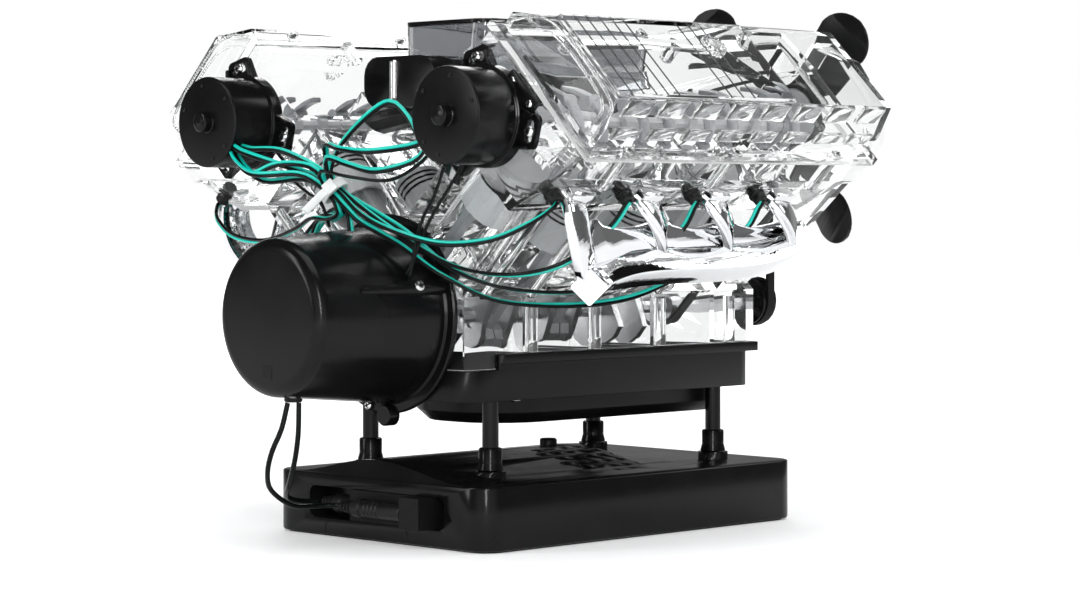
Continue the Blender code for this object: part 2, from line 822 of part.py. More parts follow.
def mound_height(y):
    """Height of the stand's arch above the deck at a place across it."""
    if abs(y) >= MOUND_HALF:
        return 0.0
    return MOUND_RISE * math.cos(math.pi * y / (2 * MOUND_HALF)) ** 2


def boot_x(index):
    return BOOT_FIRST_X + BOOT_SPACING * index


# Stand

def mound(shrink, rear, front, foot):
    """The arch of the stand, or with a shrink its inner face."""
    half = MOUND_HALF
    steps = ROUND // 2
    outline = []
    for i in range(steps + 1):
        y = half - 2 * half * i / steps
        outline.append((y, DECK_HEIGHT + mound_height(y) - shrink))
    outline += [(-half, foot), (half, foot)]
    mesh = prism(outline, rear, front)
    bm = bmesh.new()
    bm.from_mesh(mesh)
    plane = front - MOUND_RAMP
    everything = list(bm.verts) + list(bm.edges) + list(bm.faces)
    bmesh.ops.bisect_plane(bm, geom=everything, plane_co=(plane, 0, 0), plane_no=(1, 0, 0), dist=MERGE)
    for vert in bm.verts:
        if vert.co.x > front - FUSE and vert.co.z > foot + FUSE:
            vert.co.z = foot + FUSE
    return mesh_of(bm)


def base_shell():
    half_x, half_y = BASE_LENGTH / 2, BASE_WIDTH / 2
    outline = rounded_box((-half_x, -half_y), (half_x, half_y), BASE_CORNER)
    obj = add("base_shell", slab(outline, BASE_LIFT, DECK_HEIGHT), black_gloss())
    round_edges(obj, BASE_EDGE, 2)
    join(obj, mound(0.0, -half_x + FUSE, MOUND_FRONT_X, DECK_HEIGHT - BASE_EDGE))
    for x in POST_X:
        for y in (-POST_Y, POST_Y):
            join(obj, rod_z(POST_PAD_RADIUS, DECK_HEIGHT - FUSE, POST_PAD_TOP, x, y, SMALL_ROUND))
    inner_x, inner_y = half_x - BASE_WALL, half_y - BASE_WALL
    inner = rounded_box((-inner_x, -inner_y), (inner_x, inner_y), BASE_CORNER - BASE_WALL)
    cut(obj, slab(inner, -OVERRUN, DECK_HEIGHT - BASE_WALL))
    room = DECK_HEIGHT - BASE_EDGE - BASE_WALL
    cut(obj, mound(BASE_WALL, -inner_x + FUSE, MOUND_FRONT_X - BASE_WALL, room - FUSE))
    join(obj, recess_box(BASE_WALL))
    cut(obj, recess_box(0.0))
    cut(obj, rod_z(BUTTON_RADIUS + GAP, 0.0, BUTTON_TOP + OVERRUN, *BUTTON_CENTRE, SMALL_ROUND))
    for x, y in grille_places():
        cut(obj, rod_z(GRILLE_HOLE, room, BUTTON_TOP, x, y, TINY_ROUND))
    return obj


def recess_box(wall):
    """The rear recess, or with a wall the tray that closes it inside the stand."""
    rear = -BASE_LENGTH / 2
    low = (RECESS_LOW - wall, -RECESS_HALF - wall)
    high = (RECESS_HIGH + wall, RECESS_HALF + wall)
    outline = [(y, z) for z, y in rounded_box(low, high, BASE_EDGE)]
    start = rear + FUSE if wall else rear - OVERRUN
    return prism(outline, start, rear + RECESS_DEPTH + wall)


def grille_places():
    """A triangular lattice of holes inside the grille's circle."""
    places = []
    rows = round(GRILLE_RADIUS / GRILLE_PITCH)
    for row in range(-rows, rows + 1):
        for column in range(-rows, rows + 1):
            x = (column + (row % 2) / 2) * GRILLE_PITCH
            y = row * GRILLE_PITCH * math.sin(math.pi / 3)
            if math.hypot(x, y) < GRILLE_RADIUS - GRILLE_HOLE:
                places.append((SPEAKER_CENTRE[0] + x, SPEAKER_CENTRE[1] + y))
    return places


def base_floor():
    half_x, half_y = BASE_LENGTH / 2 - BASE_WALL - GAP, BASE_WIDTH / 2 - BASE_WALL - GAP
    outline = rounded_box((-half_x, -half_y), (half_x, half_y), BASE_CORNER - BASE_WALL)
    return add("base_floor", slab(outline, 0.0, FLOOR_THICK), black_matte())


def start_button():
    axis = anchor("start_button_slide", (*BUTTON_CENTRE, BUTTON_TOP))
    mesh = rod_z(BUTTON_RADIUS, BUTTON_TOP - BUTTON_LENGTH, BUTTON_TOP, *BUTTON_CENTRE, SMALL_ROUND)
    obj = add("start_button", mesh, black_gloss(), axis)
    return obj


def speaker():
    x, y = SPEAKER_CENTRE
    low = FLOOR_THICK + GAP
    neck = SPEAKER_MAGNET_RADIUS - SPEAKER_RIM
    profile = (
        (0.0, SPEAKER_MAGNET_TOP + SPEAKER_RIM), (neck, SPEAKER_MAGNET_TOP + SPEAKER_RIM),
        (SPEAKER_RADIUS - SPEAKER_RIM, SPEAKER_TOP), (SPEAKER_RADIUS, SPEAKER_TOP),
        (SPEAKER_RADIUS, SPEAKER_TOP - SPEAKER_RIM), (SPEAKER_MAGNET_RADIUS, SPEAKER_MAGNET_TOP),
        (SPEAKER_MAGNET_RADIUS, low), (0.0, low),
    )
    mesh = turned(profile, ROUND)
    mesh.transform(Matrix.Translation((x, y, 0)))
    return add("speaker", mesh, steel())


def socket_block():
    """The block with both sockets. It fills one end of the rear recess and a tongue behind the outer plug."""
    rear = -BASE_LENGTH / 2
    back = rear + RECESS_DEPTH - GAP
    low, high = RECESS_LOW + GAP, RECESS_HIGH - GAP
    outer_face = OUTER_PLUG_FACE - GAP
    end = outer_face - SOCKET_WALL
    obj = add("socket_block", box((rear - SOCKET_PROUD, end, low), (back, outer_face, high)), black_matte())
    inner_face = INNER_PLUG_FACE - GAP
    tongue_rear = OUTER_PLUG_X + COLLAR_RADIUS + GAP
    join(obj, box((tongue_rear, outer_face - FUSE, low), (back, inner_face, high)))
    for x, face in ((OUTER_PLUG_X, outer_face), (INNER_PLUG_X, inner_face)):
        cut(obj, rod_y(SOCKET_RADIUS, face - SOCKET_DEPTH, face + OVERRUN, x, PLUG_Z, SMALL_ROUND))
    return obj


def plug(name, x, face, body):
    """A moulded plug along Y whose pin enters a socket. Ribs run round its strain relief."""
    collar = face + body
    relief = collar + COLLAR_LENGTH
    end = relief + RELIEF_LENGTH
    profile = [(0.0, end), (RELIEF_TIP, end)]
    for i in range(RELIEF_RIBS):
        share = (i + 0.5) / RELIEF_RIBS
        radius = RELIEF_TIP + (RELIEF_RADIUS - RELIEF_TIP) * share
        middle = end - RELIEF_LENGTH * share
        pitch = RELIEF_LENGTH / RELIEF_RIBS / 4
        profile += [(radius, middle + pitch), (radius + RELIEF_RIB, middle), (radius, middle - pitch)]
    profile += [
        (RELIEF_RADIUS, relief), (COLLAR_RADIUS, relief), (COLLAR_RADIUS, collar), (PLUG_RADIUS, collar),
        (PLUG_RADIUS, face), (PLUG_PIN_RADIUS, face), (PLUG_PIN_RADIUS, face - PLUG_PIN_LENGTH),
        (0.0, face - PLUG_PIN_LENGTH),
    ]
    mesh = turned(profile, TINY_ROUND)
    mesh.transform(Matrix.Translation((x, 0, PLUG_Z)) @ Matrix.Rotation(-math.pi / 2, 4, "X"))
    return add(name, mesh, black_rubber())


def plugs_and_leads():
    plug("plug_inner", INNER_PLUG_X, INNER_PLUG_FACE, INNER_PLUG_BODY)
    plug("plug_outer", OUTER_PLUG_X, OUTER_PLUG_FACE, OUTER_PLUG_BODY)
    for name, route in (("motor_lead_inner", INNER_LEAD), ("motor_lead_outer", OUTER_LEAD)):
        points = smooth_route(route, MOTOR_LEAD_DIAMETER * LEAD_STEP_SHARE)
        add(name, tube(points, MOTOR_LEAD_DIAMETER), black_rubber())


def posts():
    low = POST_PAD_TOP + GAP
    high = PAN_TRAY_LOW - GAP
    profile = (
        (0.0, high), (POST_RADIUS, high), (POST_RADIUS, SLEEVE_TOP), (SLEEVE_RADIUS, SLEEVE_TOP),
        (SLEEVE_RADIUS, low + SLEEVE_FLARE), (SLEEVE_FOOT, low), (0.0, low),
    )
    for end, x in zip(("rear", "front"), POST_X):
        for side, sign in SIDES:
            mesh = turned(profile, SMALL_ROUND)
            mesh.transform(Matrix.Translation((x, sign * POST_Y, 0)))
            add(f"post_{end}_{side}", mesh, black_gloss())


# Oil pan and crankcase

def pan_tray_outline(half, rear, front, corner):
    return rounded_box((rear, -half), (front, half), corner)


def oil_pan():
    rear, front = CASE_REAR, CASE_FRONT
    tray = pan_tray_outline(PAN_TRAY_HALF, rear, front - GAP, PAN_CORNER)
    obj = add("oil_pan", slab(tray, PAN_TRAY_LOW, CASE_LOW - GAP), black_gloss())
    rim = pan_tray_outline(PAN_RIM_HALF, CASE_STEP_X + GAP, front + PAN_WALL, PAN_WALL)
    join(obj, slab(rim, PAN_RIM_LOW, CASE_LOW - GAP))
    beside = CASE_HALF * 2
    cut(obj, box((rear - OVERRUN, -beside, CASE_STEP_LOW - GAP), (CASE_STEP_X, beside, beside)))
    join(obj, sump(0.0, PAN_TRAY_LOW + FUSE))
    wall = PAN_WALL
    inner = pan_tray_outline(PAN_TRAY_HALF - wall, rear + wall, front - wall, PAN_CORNER - wall)
    cut(obj, slab(inner, PAN_TRAY_LOW + PAN_WALL, CASE_LOW + OVERRUN))
    cut(obj, sump(PAN_WALL, PAN_TRAY_LOW + PAN_WALL + FUSE))
    return obj


def sump(shrink, top):
    """The sump below the tray, with a chamfered foot, or with a shrink its inside."""
    corners = (SUMP_REAR_CORNER, SUMP_FRONT_CORNER, SUMP_FRONT_CORNER, SUMP_REAR_CORNER)
    radii = tuple(r - shrink for r in corners)
    low = (SUMP_REAR + shrink, -SUMP_HALF + shrink)
    high = (SUMP_FRONT - shrink, SUMP_HALF - shrink)
    outline = rounded_box(low, high, radii, CORNER_STEPS + 2)
    mesh = slab(outline, SUMP_LOW + shrink, top)
    bm = bmesh.new()
    bm.from_mesh(mesh)
    level = SUMP_LOW + SUMP_CHAMFER / 2
    everything = list(bm.verts) + list(bm.edges) + list(bm.faces)
    bmesh.ops.bisect_plane(bm, geom=everything, plane_co=(0, 0, level), plane_no=(0, 0, 1), dist=MERGE)
    middle = (SUMP_REAR + SUMP_FRONT) / 2
    draw_x = 1 - SUMP_CHAMFER / 2 / (SUMP_FRONT - middle)
    draw_y = 1 - SUMP_CHAMFER / 2 / SUMP_HALF
    for vert in bm.verts:
        if vert.co.z < level - FUSE:
            vert.co.x = middle + (vert.co.x - middle) * draw_x
            vert.co.y *= draw_y
    return mesh_of(bm)


def case_outline(shrink):
    """The crankcase's section: upright sides and two roofs that face the banks."""
    half = CASE_HALF - shrink
    roof = ROOF_U - shrink
    corner = CRANK_Z + roof / math.sin(BANK_ANGLE) - half
    ridge_y, ridge_z = bank_point(1, roof, -VALLEY_V + shrink)
    return [(half, corner), (ridge_y, ridge_z), (-ridge_y, ridge_z), (-half, corner)]


def crankcase():
    foot = CASE_STEP_LOW
    outline = [(-CASE_HALF, foot), (CASE_HALF, foot), *case_outline(0.0)]
    obj = add("crankcase", prism(outline, CASE_REAR, CASE_FRONT), clear())
    cut(obj, box((CASE_STEP_X, -CASE_HALF * 2, 0.0), (CASE_HALF * 3, CASE_HALF * 2, CASE_LOW)))
    inner_half = CASE_HALF - CASE_WALL
    webs = main_webs()
    starts = [CASE_REAR + CASE_END_WALL] + [x + MAIN_WEB / 2 for x in webs]
    ends = [x - MAIN_WEB / 2 for x in webs] + [CASE_FRONT - CASE_END_WALL]
    for start, end in zip(starts, ends):
        room = [(-inner_half, foot - OVERRUN), (inner_half, foot - OVERRUN), *case_outline(CASE_WALL)]
        cut(obj, prism(room, start, end))
    shaft = JOURNAL_RADIUS + BEARING_PLAY
    cut(obj, rod_x(shaft, CASE_REAR - OVERRUN, CASE_FRONT + OVERRUN, 0.0, CRANK_Z, SMALL_ROUND))
    for _, side in SIDES:
        for i in range(CYLINDERS):
            hole = rod_z(ROOF_HOLE, ROOF_U - ROOF_HOLE, ROOF_U + OVERRUN, throw_x(i) + side * ROD_OFFSET)
            hole.transform(bank_matrix(side))
            cut(obj, hole)
    low = (TIMING_REAR + TIMING_SKIN, -BELT_WINDOW, CRANK_Z + CRANK_SPROCKET)
    cut(obj, box(low, (TIMING_FRONT - TIMING_SKIN, BELT_WINDOW, FAN_Z)))
    return obj


# Cylinder blocks, heads and covers, in the bank's own axes

def bank_prism(side, outline, x0, x1):
    """A prism from an outline of (v, u) in a bank's own axes."""
    return prism([(side * v, u) for v, u in outline], x0, x1)


def cylinder_block(name, side, bank):
    foot, inside, outside = ROOF_U + GAP, -VALLEY_V, BLOCK_HALF_OUT
    outline = ((inside, foot), (outside, foot), (outside, DECK_U), (inside, DECK_U))
    mesh = bank_prism(side, outline, CASE_REAR, BLOCK_FRONT)
    obj = add(f"cylinder_block_{name}", mesh, clear(), bank, True)
    for i in range(CYLINDERS):
        x = throw_x(i) + side * ROD_OFFSET
        cut(obj, rod_z(BORE, ROOF_U - OVERRUN, DECK_U + OVERRUN, x))
    return obj


def head_outline():
    low = DECK_U + GAP
    step = HEAD_RIM_LOW + HEAD_RIM_STEP
    return (
        (-HEAD_IN, low), (HEAD_FOOT_OUT, low), (HEAD_SIDE_OUT, HEAD_RIM_LOW), (HEAD_RIM_OUT, step),
        (HEAD_RIM_OUT, HEAD_TOP), (-HEAD_RIM_IN, HEAD_TOP), (-HEAD_RIM_IN, step), (-HEAD_IN, HEAD_RIM_LOW),
    )


def head_room():
    """The section of the head's inside, open at the top."""
    low = DECK_U + GAP + HEAD_DECK
    slope = (HEAD_SIDE_OUT - HEAD_FOOT_OUT) / (HEAD_RIM_LOW - DECK_U)
    foot = HEAD_FOOT_OUT + slope * HEAD_DECK - HEAD_WALL
    return (
        (-HEAD_IN + HEAD_WALL, low), (foot, low), (HEAD_SIDE_OUT - HEAD_WALL, HEAD_RIM_LOW),
        (HEAD_SIDE_OUT - HEAD_WALL, HEAD_TOP + OVERRUN), (-HEAD_IN + HEAD_WALL, HEAD_TOP + OVERRUN),
    )


def cam_webs():
    """The middles of the head's camshaft bearings along X."""
    return [throw_x(i) + THROW_SPACING / 2 for i in range(CYLINDERS - 1)]


def cylinder_head(name, side, bank):
    mesh = bank_prism(side, head_outline(), HEAD_REAR, HEAD_FRONT)
    obj = add(f"cylinder_head_{name}", mesh, clear(), bank, True)
    webs = cam_webs()
    starts = [HEAD_REAR + HEAD_WALL] + [x + CAM_WEB / 2 for x in webs]
    ends = [x - CAM_WEB / 2 for x in webs] + [HEAD_FRONT - HEAD_WALL]
    for start, end in zip(starts, ends):
        cut(obj, bank_prism(side, head_room(), start, end))
    side_line = HEAD_SIDE_OUT - HEAD_WALL * 2
    saddle = ((-HEAD_IN + HEAD_WALL, CAM_U), (side_line, CAM_U), (side_line, HEAD_TOP + OVERRUN),
              (-HEAD_IN + HEAD_WALL, HEAD_TOP + OVERRUN))
    cut(obj, bank_prism(side, saddle, HEAD_REAR + HEAD_WALL + FUSE, HEAD_FRONT - HEAD_WALL - FUSE))
    rear, front = HEAD_REAR - OVERRUN, HEAD_FRONT + OVERRUN
    cut(obj, rod_x(CAM_RADIUS + BEARING_PLAY, rear, front, side * CAM_V, CAM_U, SMALL_ROUND))
    for i in range(CYLINDERS):
        low, high = side * (BOOT_BASE_V - OVERRUN), side * (BOOT_TOP_V + OVERRUN)
        cut(obj, rod_y(BOOT_RADIUS + GAP, low, high, boot_x(i), BOOT_U, TINY_ROUND))
    return obj


def cover_outline(shrink):
    """The section of the valve cover above its flange, or with a shrink its inside."""
    top = COVER_TOP - shrink
    return [
        (-COVER_WALL_IN + shrink, COVER_BOTTOM), (COVER_WALL_OUT - shrink, COVER_BOTTOM),
        (COVER_SHOULDER_OUT - shrink, COVER_SHOULDER - shrink), (COVER_LEDGE_OUT - shrink, top),
        (-COVER_TOP_IN + shrink / 2, top), (-COVER_WALL_IN + shrink, COVER_SLOPE),
    ]


def valve_cover(name, side, bank):
    mesh = bank_prism(side, cover_outline(0.0), COVER_REAR, COVER_FRONT)
    obj = add(f"valve_cover_{name}", mesh, clear(), bank, True)
    low, high = COVER_BOTTOM, FLANGE_TOP
    flange = ((-COVER_IN, low), (COVER_OUT, low), (COVER_OUT, high), (-COVER_IN, high))
    join(obj, bank_prism(side, flange, HEAD_REAR, HEAD_FRONT))
    low, high = COVER_TOP - FUSE, COVER_TOP + COVER_STEP
    step = [(-COVER_TOP_IN - COVER_STEP, low), (COVER_LEDGE_OUT - COVER_STEP, low),
            (COVER_LEDGE_OUT - COVER_STEP * 2, high), (-COVER_TOP_IN, high)]
    join(obj, bank_prism(side, step, COVER_REAR + COVER_SKIN, COVER_STEP_X))
    cap_v, cap_top = side * OIL_CAP_V, COVER_TOP + OIL_CAP_HEIGHT
    join(obj, rod_z(OIL_CAP_RADIUS, COVER_TOP - FUSE, cap_top, OIL_CAP_X, cap_v, SMALL_ROUND))
    inside = cover_outline(COVER_SKIN)
    inside = [(v, u if u > COVER_BOTTOM else u - OVERRUN) for v, u in inside]
    cut(obj, bank_prism(side, inside, COVER_REAR + COVER_SKIN, COVER_FRONT - COVER_SKIN))
    return obj


# Crankshaft and what it carries

def pin_direction(outer):
    """Angle of the outer or inner throws from +Y, at rest."""
    return math.radians(90.0 if outer else -90.0)


def is_outer(index):
    return index in (0, CYLINDERS - 1)


def pin_place(outer, share=1.0):
    """The (y, z) place of a throw's pin, or of a share of the way to it."""
    angle = pin_direction(outer)
    return (THROW * share * math.cos(angle), CRANK_Z + THROW * share * math.sin(angle))


def web_outline(outer):
    """A crank web: a round end at the pin and a wide counterweight opposite."""
    angle = math.degrees(pin_direction(outer))
    pin = pin_place(outer)
    points = arc(pin, WEB_PIN_ROUND, angle - WEB_PIN_HALF_DEG, angle + WEB_PIN_HALF_DEG, CORNER_STEPS)
    back, half = angle + 180, COUNTERWEIGHT_HALF_DEG
    return points + arc((0, CRANK_Z), COUNTERWEIGHT, back - half, back + half, CORNER_STEPS + 1)


def crankshaft(crank):
    shaft = rod_x(JOURNAL_RADIUS, CRANK_REAR, throw_x(0) - PIN_HALF - FUSE, 0.0, CRANK_Z, SMALL_ROUND)
    obj = add("crankshaft", shaft, steel(), crank)
    pieces = []
    for i in range(CYLINDERS):
        outer = is_outer(i)
        x = throw_x(i)
        y, z = pin_place(outer)
        reach = PIN_HALF + FUSE
        pieces.append(rod_x(CRANKPIN_RADIUS, x - reach, x + reach, y, z, SMALL_ROUND))
        for low in (x - PIN_HALF - WEB_THICK, x + PIN_HALF):
            pieces.append(prism(web_outline(outer), low, low + WEB_THICK))
        after = throw_x(i + 1) - PIN_HALF - WEB_THICK + FUSE if i + 1 < CYLINDERS else NOSE_END
        before = x + PIN_HALF + WEB_THICK - FUSE
        pieces.append(rod_x(JOURNAL_RADIUS, before, after, 0.0, CRANK_Z, SMALL_ROUND))
    pieces.append(rod_x(CRANK_SPROCKET, SPROCKET_REAR, SPROCKET_FRONT, 0.0, CRANK_Z, ROUND))
    for mesh in pieces:
        mesh.transform(Matrix.Translation((0, 0, -CRANK_Z)))
        join(obj, mesh)
    for outer in (True, False):
        x, (y, z) = dowel_x(outer), pin_place(outer, 0.5)
        reach = WEB_THICK / 2 + FUSE
        cut(obj, rod_x(DOWEL_RADIUS + GAP, x - reach, x + reach, y, z - CRANK_Z, TINY_ROUND))
    return obj


def dowel_x(outer):
    """Middle of the rear web of the first outer or first inner throw."""
    return throw_x(0 if outer else 1) - PIN_HALF - WEB_THICK / 2


def flywheel(crank):
    outline = toothed_outline((0.0, CRANK_Z), FLYWHEEL_RADIUS, GEAR_TOOTH, FLYWHEEL_TEETH)
    obj = add("flywheel_gear", prism(outline, GEAR_REAR, GEAR_REAR + GEAR_THICK), grey(), crank)
    rear, front = GEAR_REAR - OVERRUN, GEAR_REAR + GEAR_THICK + OVERRUN
    return cut(obj, rod_x(JOURNAL_RADIUS + GAP, rear, front, 0.0, 0.0, SMALL_ROUND))


def pulley_profile(radius, front_shaft, rear_shaft):
    """The (x, radius) profile of a grooved belt pulley with a flange at each side."""
    rear, front = PULLEY_REAR, PULLEY_REAR + PULLEY_WIDTH
    groove = (PULLEY_WIDTH - FAN_BELT_WIDTH) / 2 - GAP
    flange = radius + PULLEY_FLANGE - FAN_PULLEY
    return (
        (front, front_shaft), (front, flange), (front - groove, flange), (front - groove, radius),
        (rear + groove, radius), (rear + groove, flange), (rear, flange), (rear, rear_shaft),
    )


def crank_pulley(crank):
    bore = JOURNAL_RADIUS + GAP
    profile = pulley_profile(FAN_PULLEY, bore, bore)
    return add("crank_pulley", turned_along_x(profile, ROUND, 0.0, CRANK_Z), black_gloss(), crank)


def dowels(crank):
    """The small dowels in the crank webs, halfway to the pins, and the empties that they turn on."""
    axes = {}
    for name, outer in (("outer", True), ("inner", False)):
        y, z = pin_place(outer, 0.5)
        axis = anchor(f"web_dowel_axis_{name}", (0, y, z - CRANK_Z), parent=crank)
        bpy.context.view_layer.update()
        x = dowel_x(outer)
        mesh = rod_x(DOWEL_RADIUS, x - DOWEL_THICK / 2, x + DOWEL_THICK / 2, y, z, TINY_ROUND)
        add(f"web_dowel_{name}", mesh, steel(), axis)
        axes[outer] = axis
    return axes


def rod_outline(pin):
    """A connecting rod along +Z from its pin, upright."""
    reach = math.degrees(math.asin(ROD_SHANK / ROD_BIG))
    tip = math.degrees(math.asin(ROD_SHANK / ROD_SMALL))
    points = arc(pin, ROD_BIG, 90 + reach, 450 - reach, ROD_BIG_STEPS)
    points += arc((pin[0], pin[1] + ROD_LENGTH), ROD_SMALL, -90 + tip, 270 - tip, ROD_SMALL_STEPS)
    return points


def rods_and_pistons(crank, dowel_axes):
    """Four throws with a rod and a piston for each bank."""
    for group, outer in (("outer", True), ("inner", False)):
        y, z = pin_place(outer)
        pin_axis = anchor(f"crankpin_axis_{group}", (0, y, z - CRANK_Z), parent=crank)
        bpy.context.view_layer.update()
        for i in (n for n in range(CYLINDERS) if is_outer(n) == outer):
            for name, side in SIDES:
                middle = throw_x(i) + side * ROD_OFFSET
                tilt = Matrix.Translation((0, y, z)) @ Matrix.Rotation(-side * BANK_ANGLE, 4, "X")
                mesh = prism(rod_outline((0.0, 0.0)), middle - ROD_THICK / 2, middle + ROD_THICK / 2)
                mesh.transform(tilt)
                rod = add(f"rod_{name}_{i + 1}", mesh, grey(), pin_axis)
                rear, front = middle - ROD_THICK, middle + ROD_THICK
                cut(rod, rod_x(CRANKPIN_RADIUS + GAP, rear, front, 0.0, 0.0, SMALL_ROUND))
                piston(name, side, i, outer, dowel_axes[outer])


def piston_rise(side, outer):
    """How far a piston stands above the middle of its stroke, at rest."""
    bank = math.pi / 2 - side * BANK_ANGLE
    return THROW * math.cos(pin_direction(outer) - bank)


def piston(name, side, index, outer, axis):
    rise = piston_rise(side, outer)
    top = PISTON_MID_TOP + rise
    low = top - PISTON_LENGTH
    inner = PISTON_RADIUS - PISTON_WALL
    roof = top - PISTON_CROWN
    outer = PISTON_RADIUS
    profile = ((0.0, top), (outer, top), (outer, low), (inner, low), (inner, roof), (0.0, roof))
    mesh = turned(profile, PISTON_ROUND)
    mesh.transform(Matrix.Translation((throw_x(index) + side * ROD_OFFSET, 0, 0)))
    mesh.transform(bank_matrix(side))
    return add(f"piston_{name}_{index + 1}", mesh, grey(), axis)


# Camshafts, timing belt and timing cover

def camshaft(name, side):
    y, z = bank_point(side, CAM_U, CAM_V)
    axis = anchor(f"camshaft_axis_{name}", (0, y, z))
    shaft = rod_x(CAM_RADIUS, CAM_REAR, SPROCKET_FRONT + FUSE, y, z, TINY_ROUND)
    obj = add(f"camshaft_{name}", shaft, grey(), axis)
    for i in range(CYLINDERS):
        for j, shift in enumerate((-CAM_LOBE_SPACING / 2, CAM_LOBE_SPACING / 2)):
            x = throw_x(i) + shift
            angle = math.radians(CAM_THROW_DEG * i + CAM_PAIR_DEG * j)
            nose = (CAM_LIFT * math.cos(angle), CAM_LIFT * math.sin(angle), CAM_LOBE * CAM_NOSE_SHARE)
            outline = hull_outline(((0.0, 0.0, CAM_LOBE), nose), steps=LOBE_ROUND)
            join(obj, prism(outline, x - CAM_LOBE_THICK / 2, x + CAM_LOBE_THICK / 2))
    join(obj, rod_x(CAM_PULLEY, SPROCKET_REAR, SPROCKET_FRONT, 0.0, 0.0, ROUND))
    half = CAM_RADIUS * CAM_ROTOR_SHARE
    rotor = box((CAM_REAR - CAM_ROTOR_THICK, -half, -half), (CAM_REAR + FUSE, half, CAM_ROTOR))
    join(obj, rotor)
    return obj


def timing_circles():
    near, far = bank_point(-1, CAM_U, CAM_V), bank_point(1, CAM_U, CAM_V)
    return ((0.0, CRANK_Z, CRANK_SPROCKET), (*near, CAM_PULLEY), (*far, CAM_PULLEY))


def timing_belt():
    middle = (SPROCKET_REAR + SPROCKET_FRONT) / 2
    low, high = middle - BELT_WIDTH / 2, middle + BELT_WIDTH / 2
    outer = hull_outline(timing_circles(), GAP + BELT_THICK)
    inner = hull_outline(timing_circles(), GAP)
    obj = add("timing_belt", prism(outer, low, high), black_rubber())
    return cut(obj, prism(inner, low - OVERRUN, high + OVERRUN))


def timing_outline(shrink):
    """The timing cover's outline over both banks, or with a shrink its inside."""
    half = [
        bank_point(1, TIMING_FOOT_U, TIMING_FOOT_V - shrink),
        bank_point(1, TIMING_WAIST_U, TIMING_WAIST_V - shrink),
        bank_point(1, TIMING_SIDE_U, TIMING_SIDE_V - shrink),
        bank_point(1, TIMING_NOSE_U - shrink, TIMING_NOSE_V - shrink / 2),
        bank_point(1, TIMING_CROWN_U - shrink, TIMING_CROWN_V),
        bank_point(1, TIMING_INNER_U - shrink, TIMING_INNER_V + shrink),
    ]
    shelf = (half[-1][0] - (half[-1][1] - TIMING_TOP) - shrink / 2, TIMING_TOP - shrink)
    half.append(shelf)
    ridge = bank_point(1, ROOF_U + GAP * 2 - shrink, -VALLEY_V)
    left = [(-y, z) for y, z in reversed(half)]
    return half + left + [(-ridge[0], ridge[1]), (ridge[0], ridge[1])]


def timing_cover():
    obj = add("timing_cover", prism(timing_outline(0.0), TIMING_REAR, TIMING_FRONT), clear())
    cut(obj, prism(timing_outline(TIMING_SKIN), TIMING_REAR - OVERRUN, TIMING_FRONT - TIMING_SKIN))
    rear, front = TIMING_FRONT - TIMING_SKIN - OVERRUN, TIMING_FRONT + OVERRUN
    return cut(obj, rod_x(FAN_SHAFT + BEARING_PLAY, rear, front, 0.0, FAN_Z, SMALL_ROUND))


# Fan and its drive

def fan_housing():
    """The snout on the timing cover that carries the fan's shaft."""
    root = TIMING_FRONT + GAP
    bore = FAN_SHAFT + BEARING_PLAY
    profile = (
        (SNOUT_END, bore), (SNOUT_END, SNOUT_TIP), (root + SNOUT_ROOT, SNOUT_TIP),
        (root + SNOUT_FOOT, SNOUT_ROOT), (root, SNOUT_ROOT), (root, bore),
    )
    return add("fan_housing", turned_along_x(profile, ROUND, 0.0, FAN_Z), black_gloss())


def blade_outline():
    """A paddle blade along +Z with a narrow root and a wide round end."""
    end = FAN_RADIUS - BLADE_WIDTH
    points = arc((0.0, end), BLADE_WIDTH, -BLADE_SPREAD_DEG, 180 + BLADE_SPREAD_DEG, SMALL_ROUND)
    return points + [(-BLADE_ROOT, FAN_HUB / 2), (BLADE_ROOT, FAN_HUB / 2)]


def fan(axis):
    rear, front = FAN_X - FAN_HUB_LENGTH / 2, FAN_X + FAN_HUB_LENGTH / 2
    profile = (
        (front, 0.0), (front, FAN_HUB * FAN_NOSE_SHARE), (front - BLADE_ROOT / 2, FAN_HUB), (rear, FAN_HUB),
        (rear, PULLEY_HUB), *pulley_profile(FAN_PULLEY, PULLEY_HUB, FAN_SHAFT), (TIMING_FRONT, FAN_SHAFT),
        (TIMING_FRONT, 0.0),
    )
    obj = add("fan", turned_along_x(profile, PISTON_ROUND, 0.0, FAN_Z), black_gloss(), axis)
    for i in range(FAN_BLADES):
        mesh = prism(blade_outline(), -BLADE_THICK / 2, BLADE_THICK / 2)
        mesh.transform(Matrix.Rotation(math.radians(FAN_PITCH_DEG), 4, "Z"))
        angle = math.radians(FAN_START_DEG - 90.0 + 360.0 / FAN_BLADES * i)
        mesh.transform(Matrix.Translation((FAN_X, 0, 0)) @ Matrix.Rotation(angle, 4, "X"))
        join(obj, mesh)
    return obj


def fan_belt():
    middle = PULLEY_REAR + PULLEY_WIDTH / 2
    low, high = middle - FAN_BELT_WIDTH / 2, middle + FAN_BELT_WIDTH / 2
    circles = ((0.0, CRANK_Z, FAN_PULLEY), (0.0, FAN_Z, FAN_PULLEY))
    obj = add("fan_belt", prism(hull_outline(circles, GAP + FAN_BELT_THICK), low, high), black_rubber())
    return cut(obj, prism(hull_outline(circles, GAP), low - OVERRUN, high + OVERRUN))


# Motor cover and motor

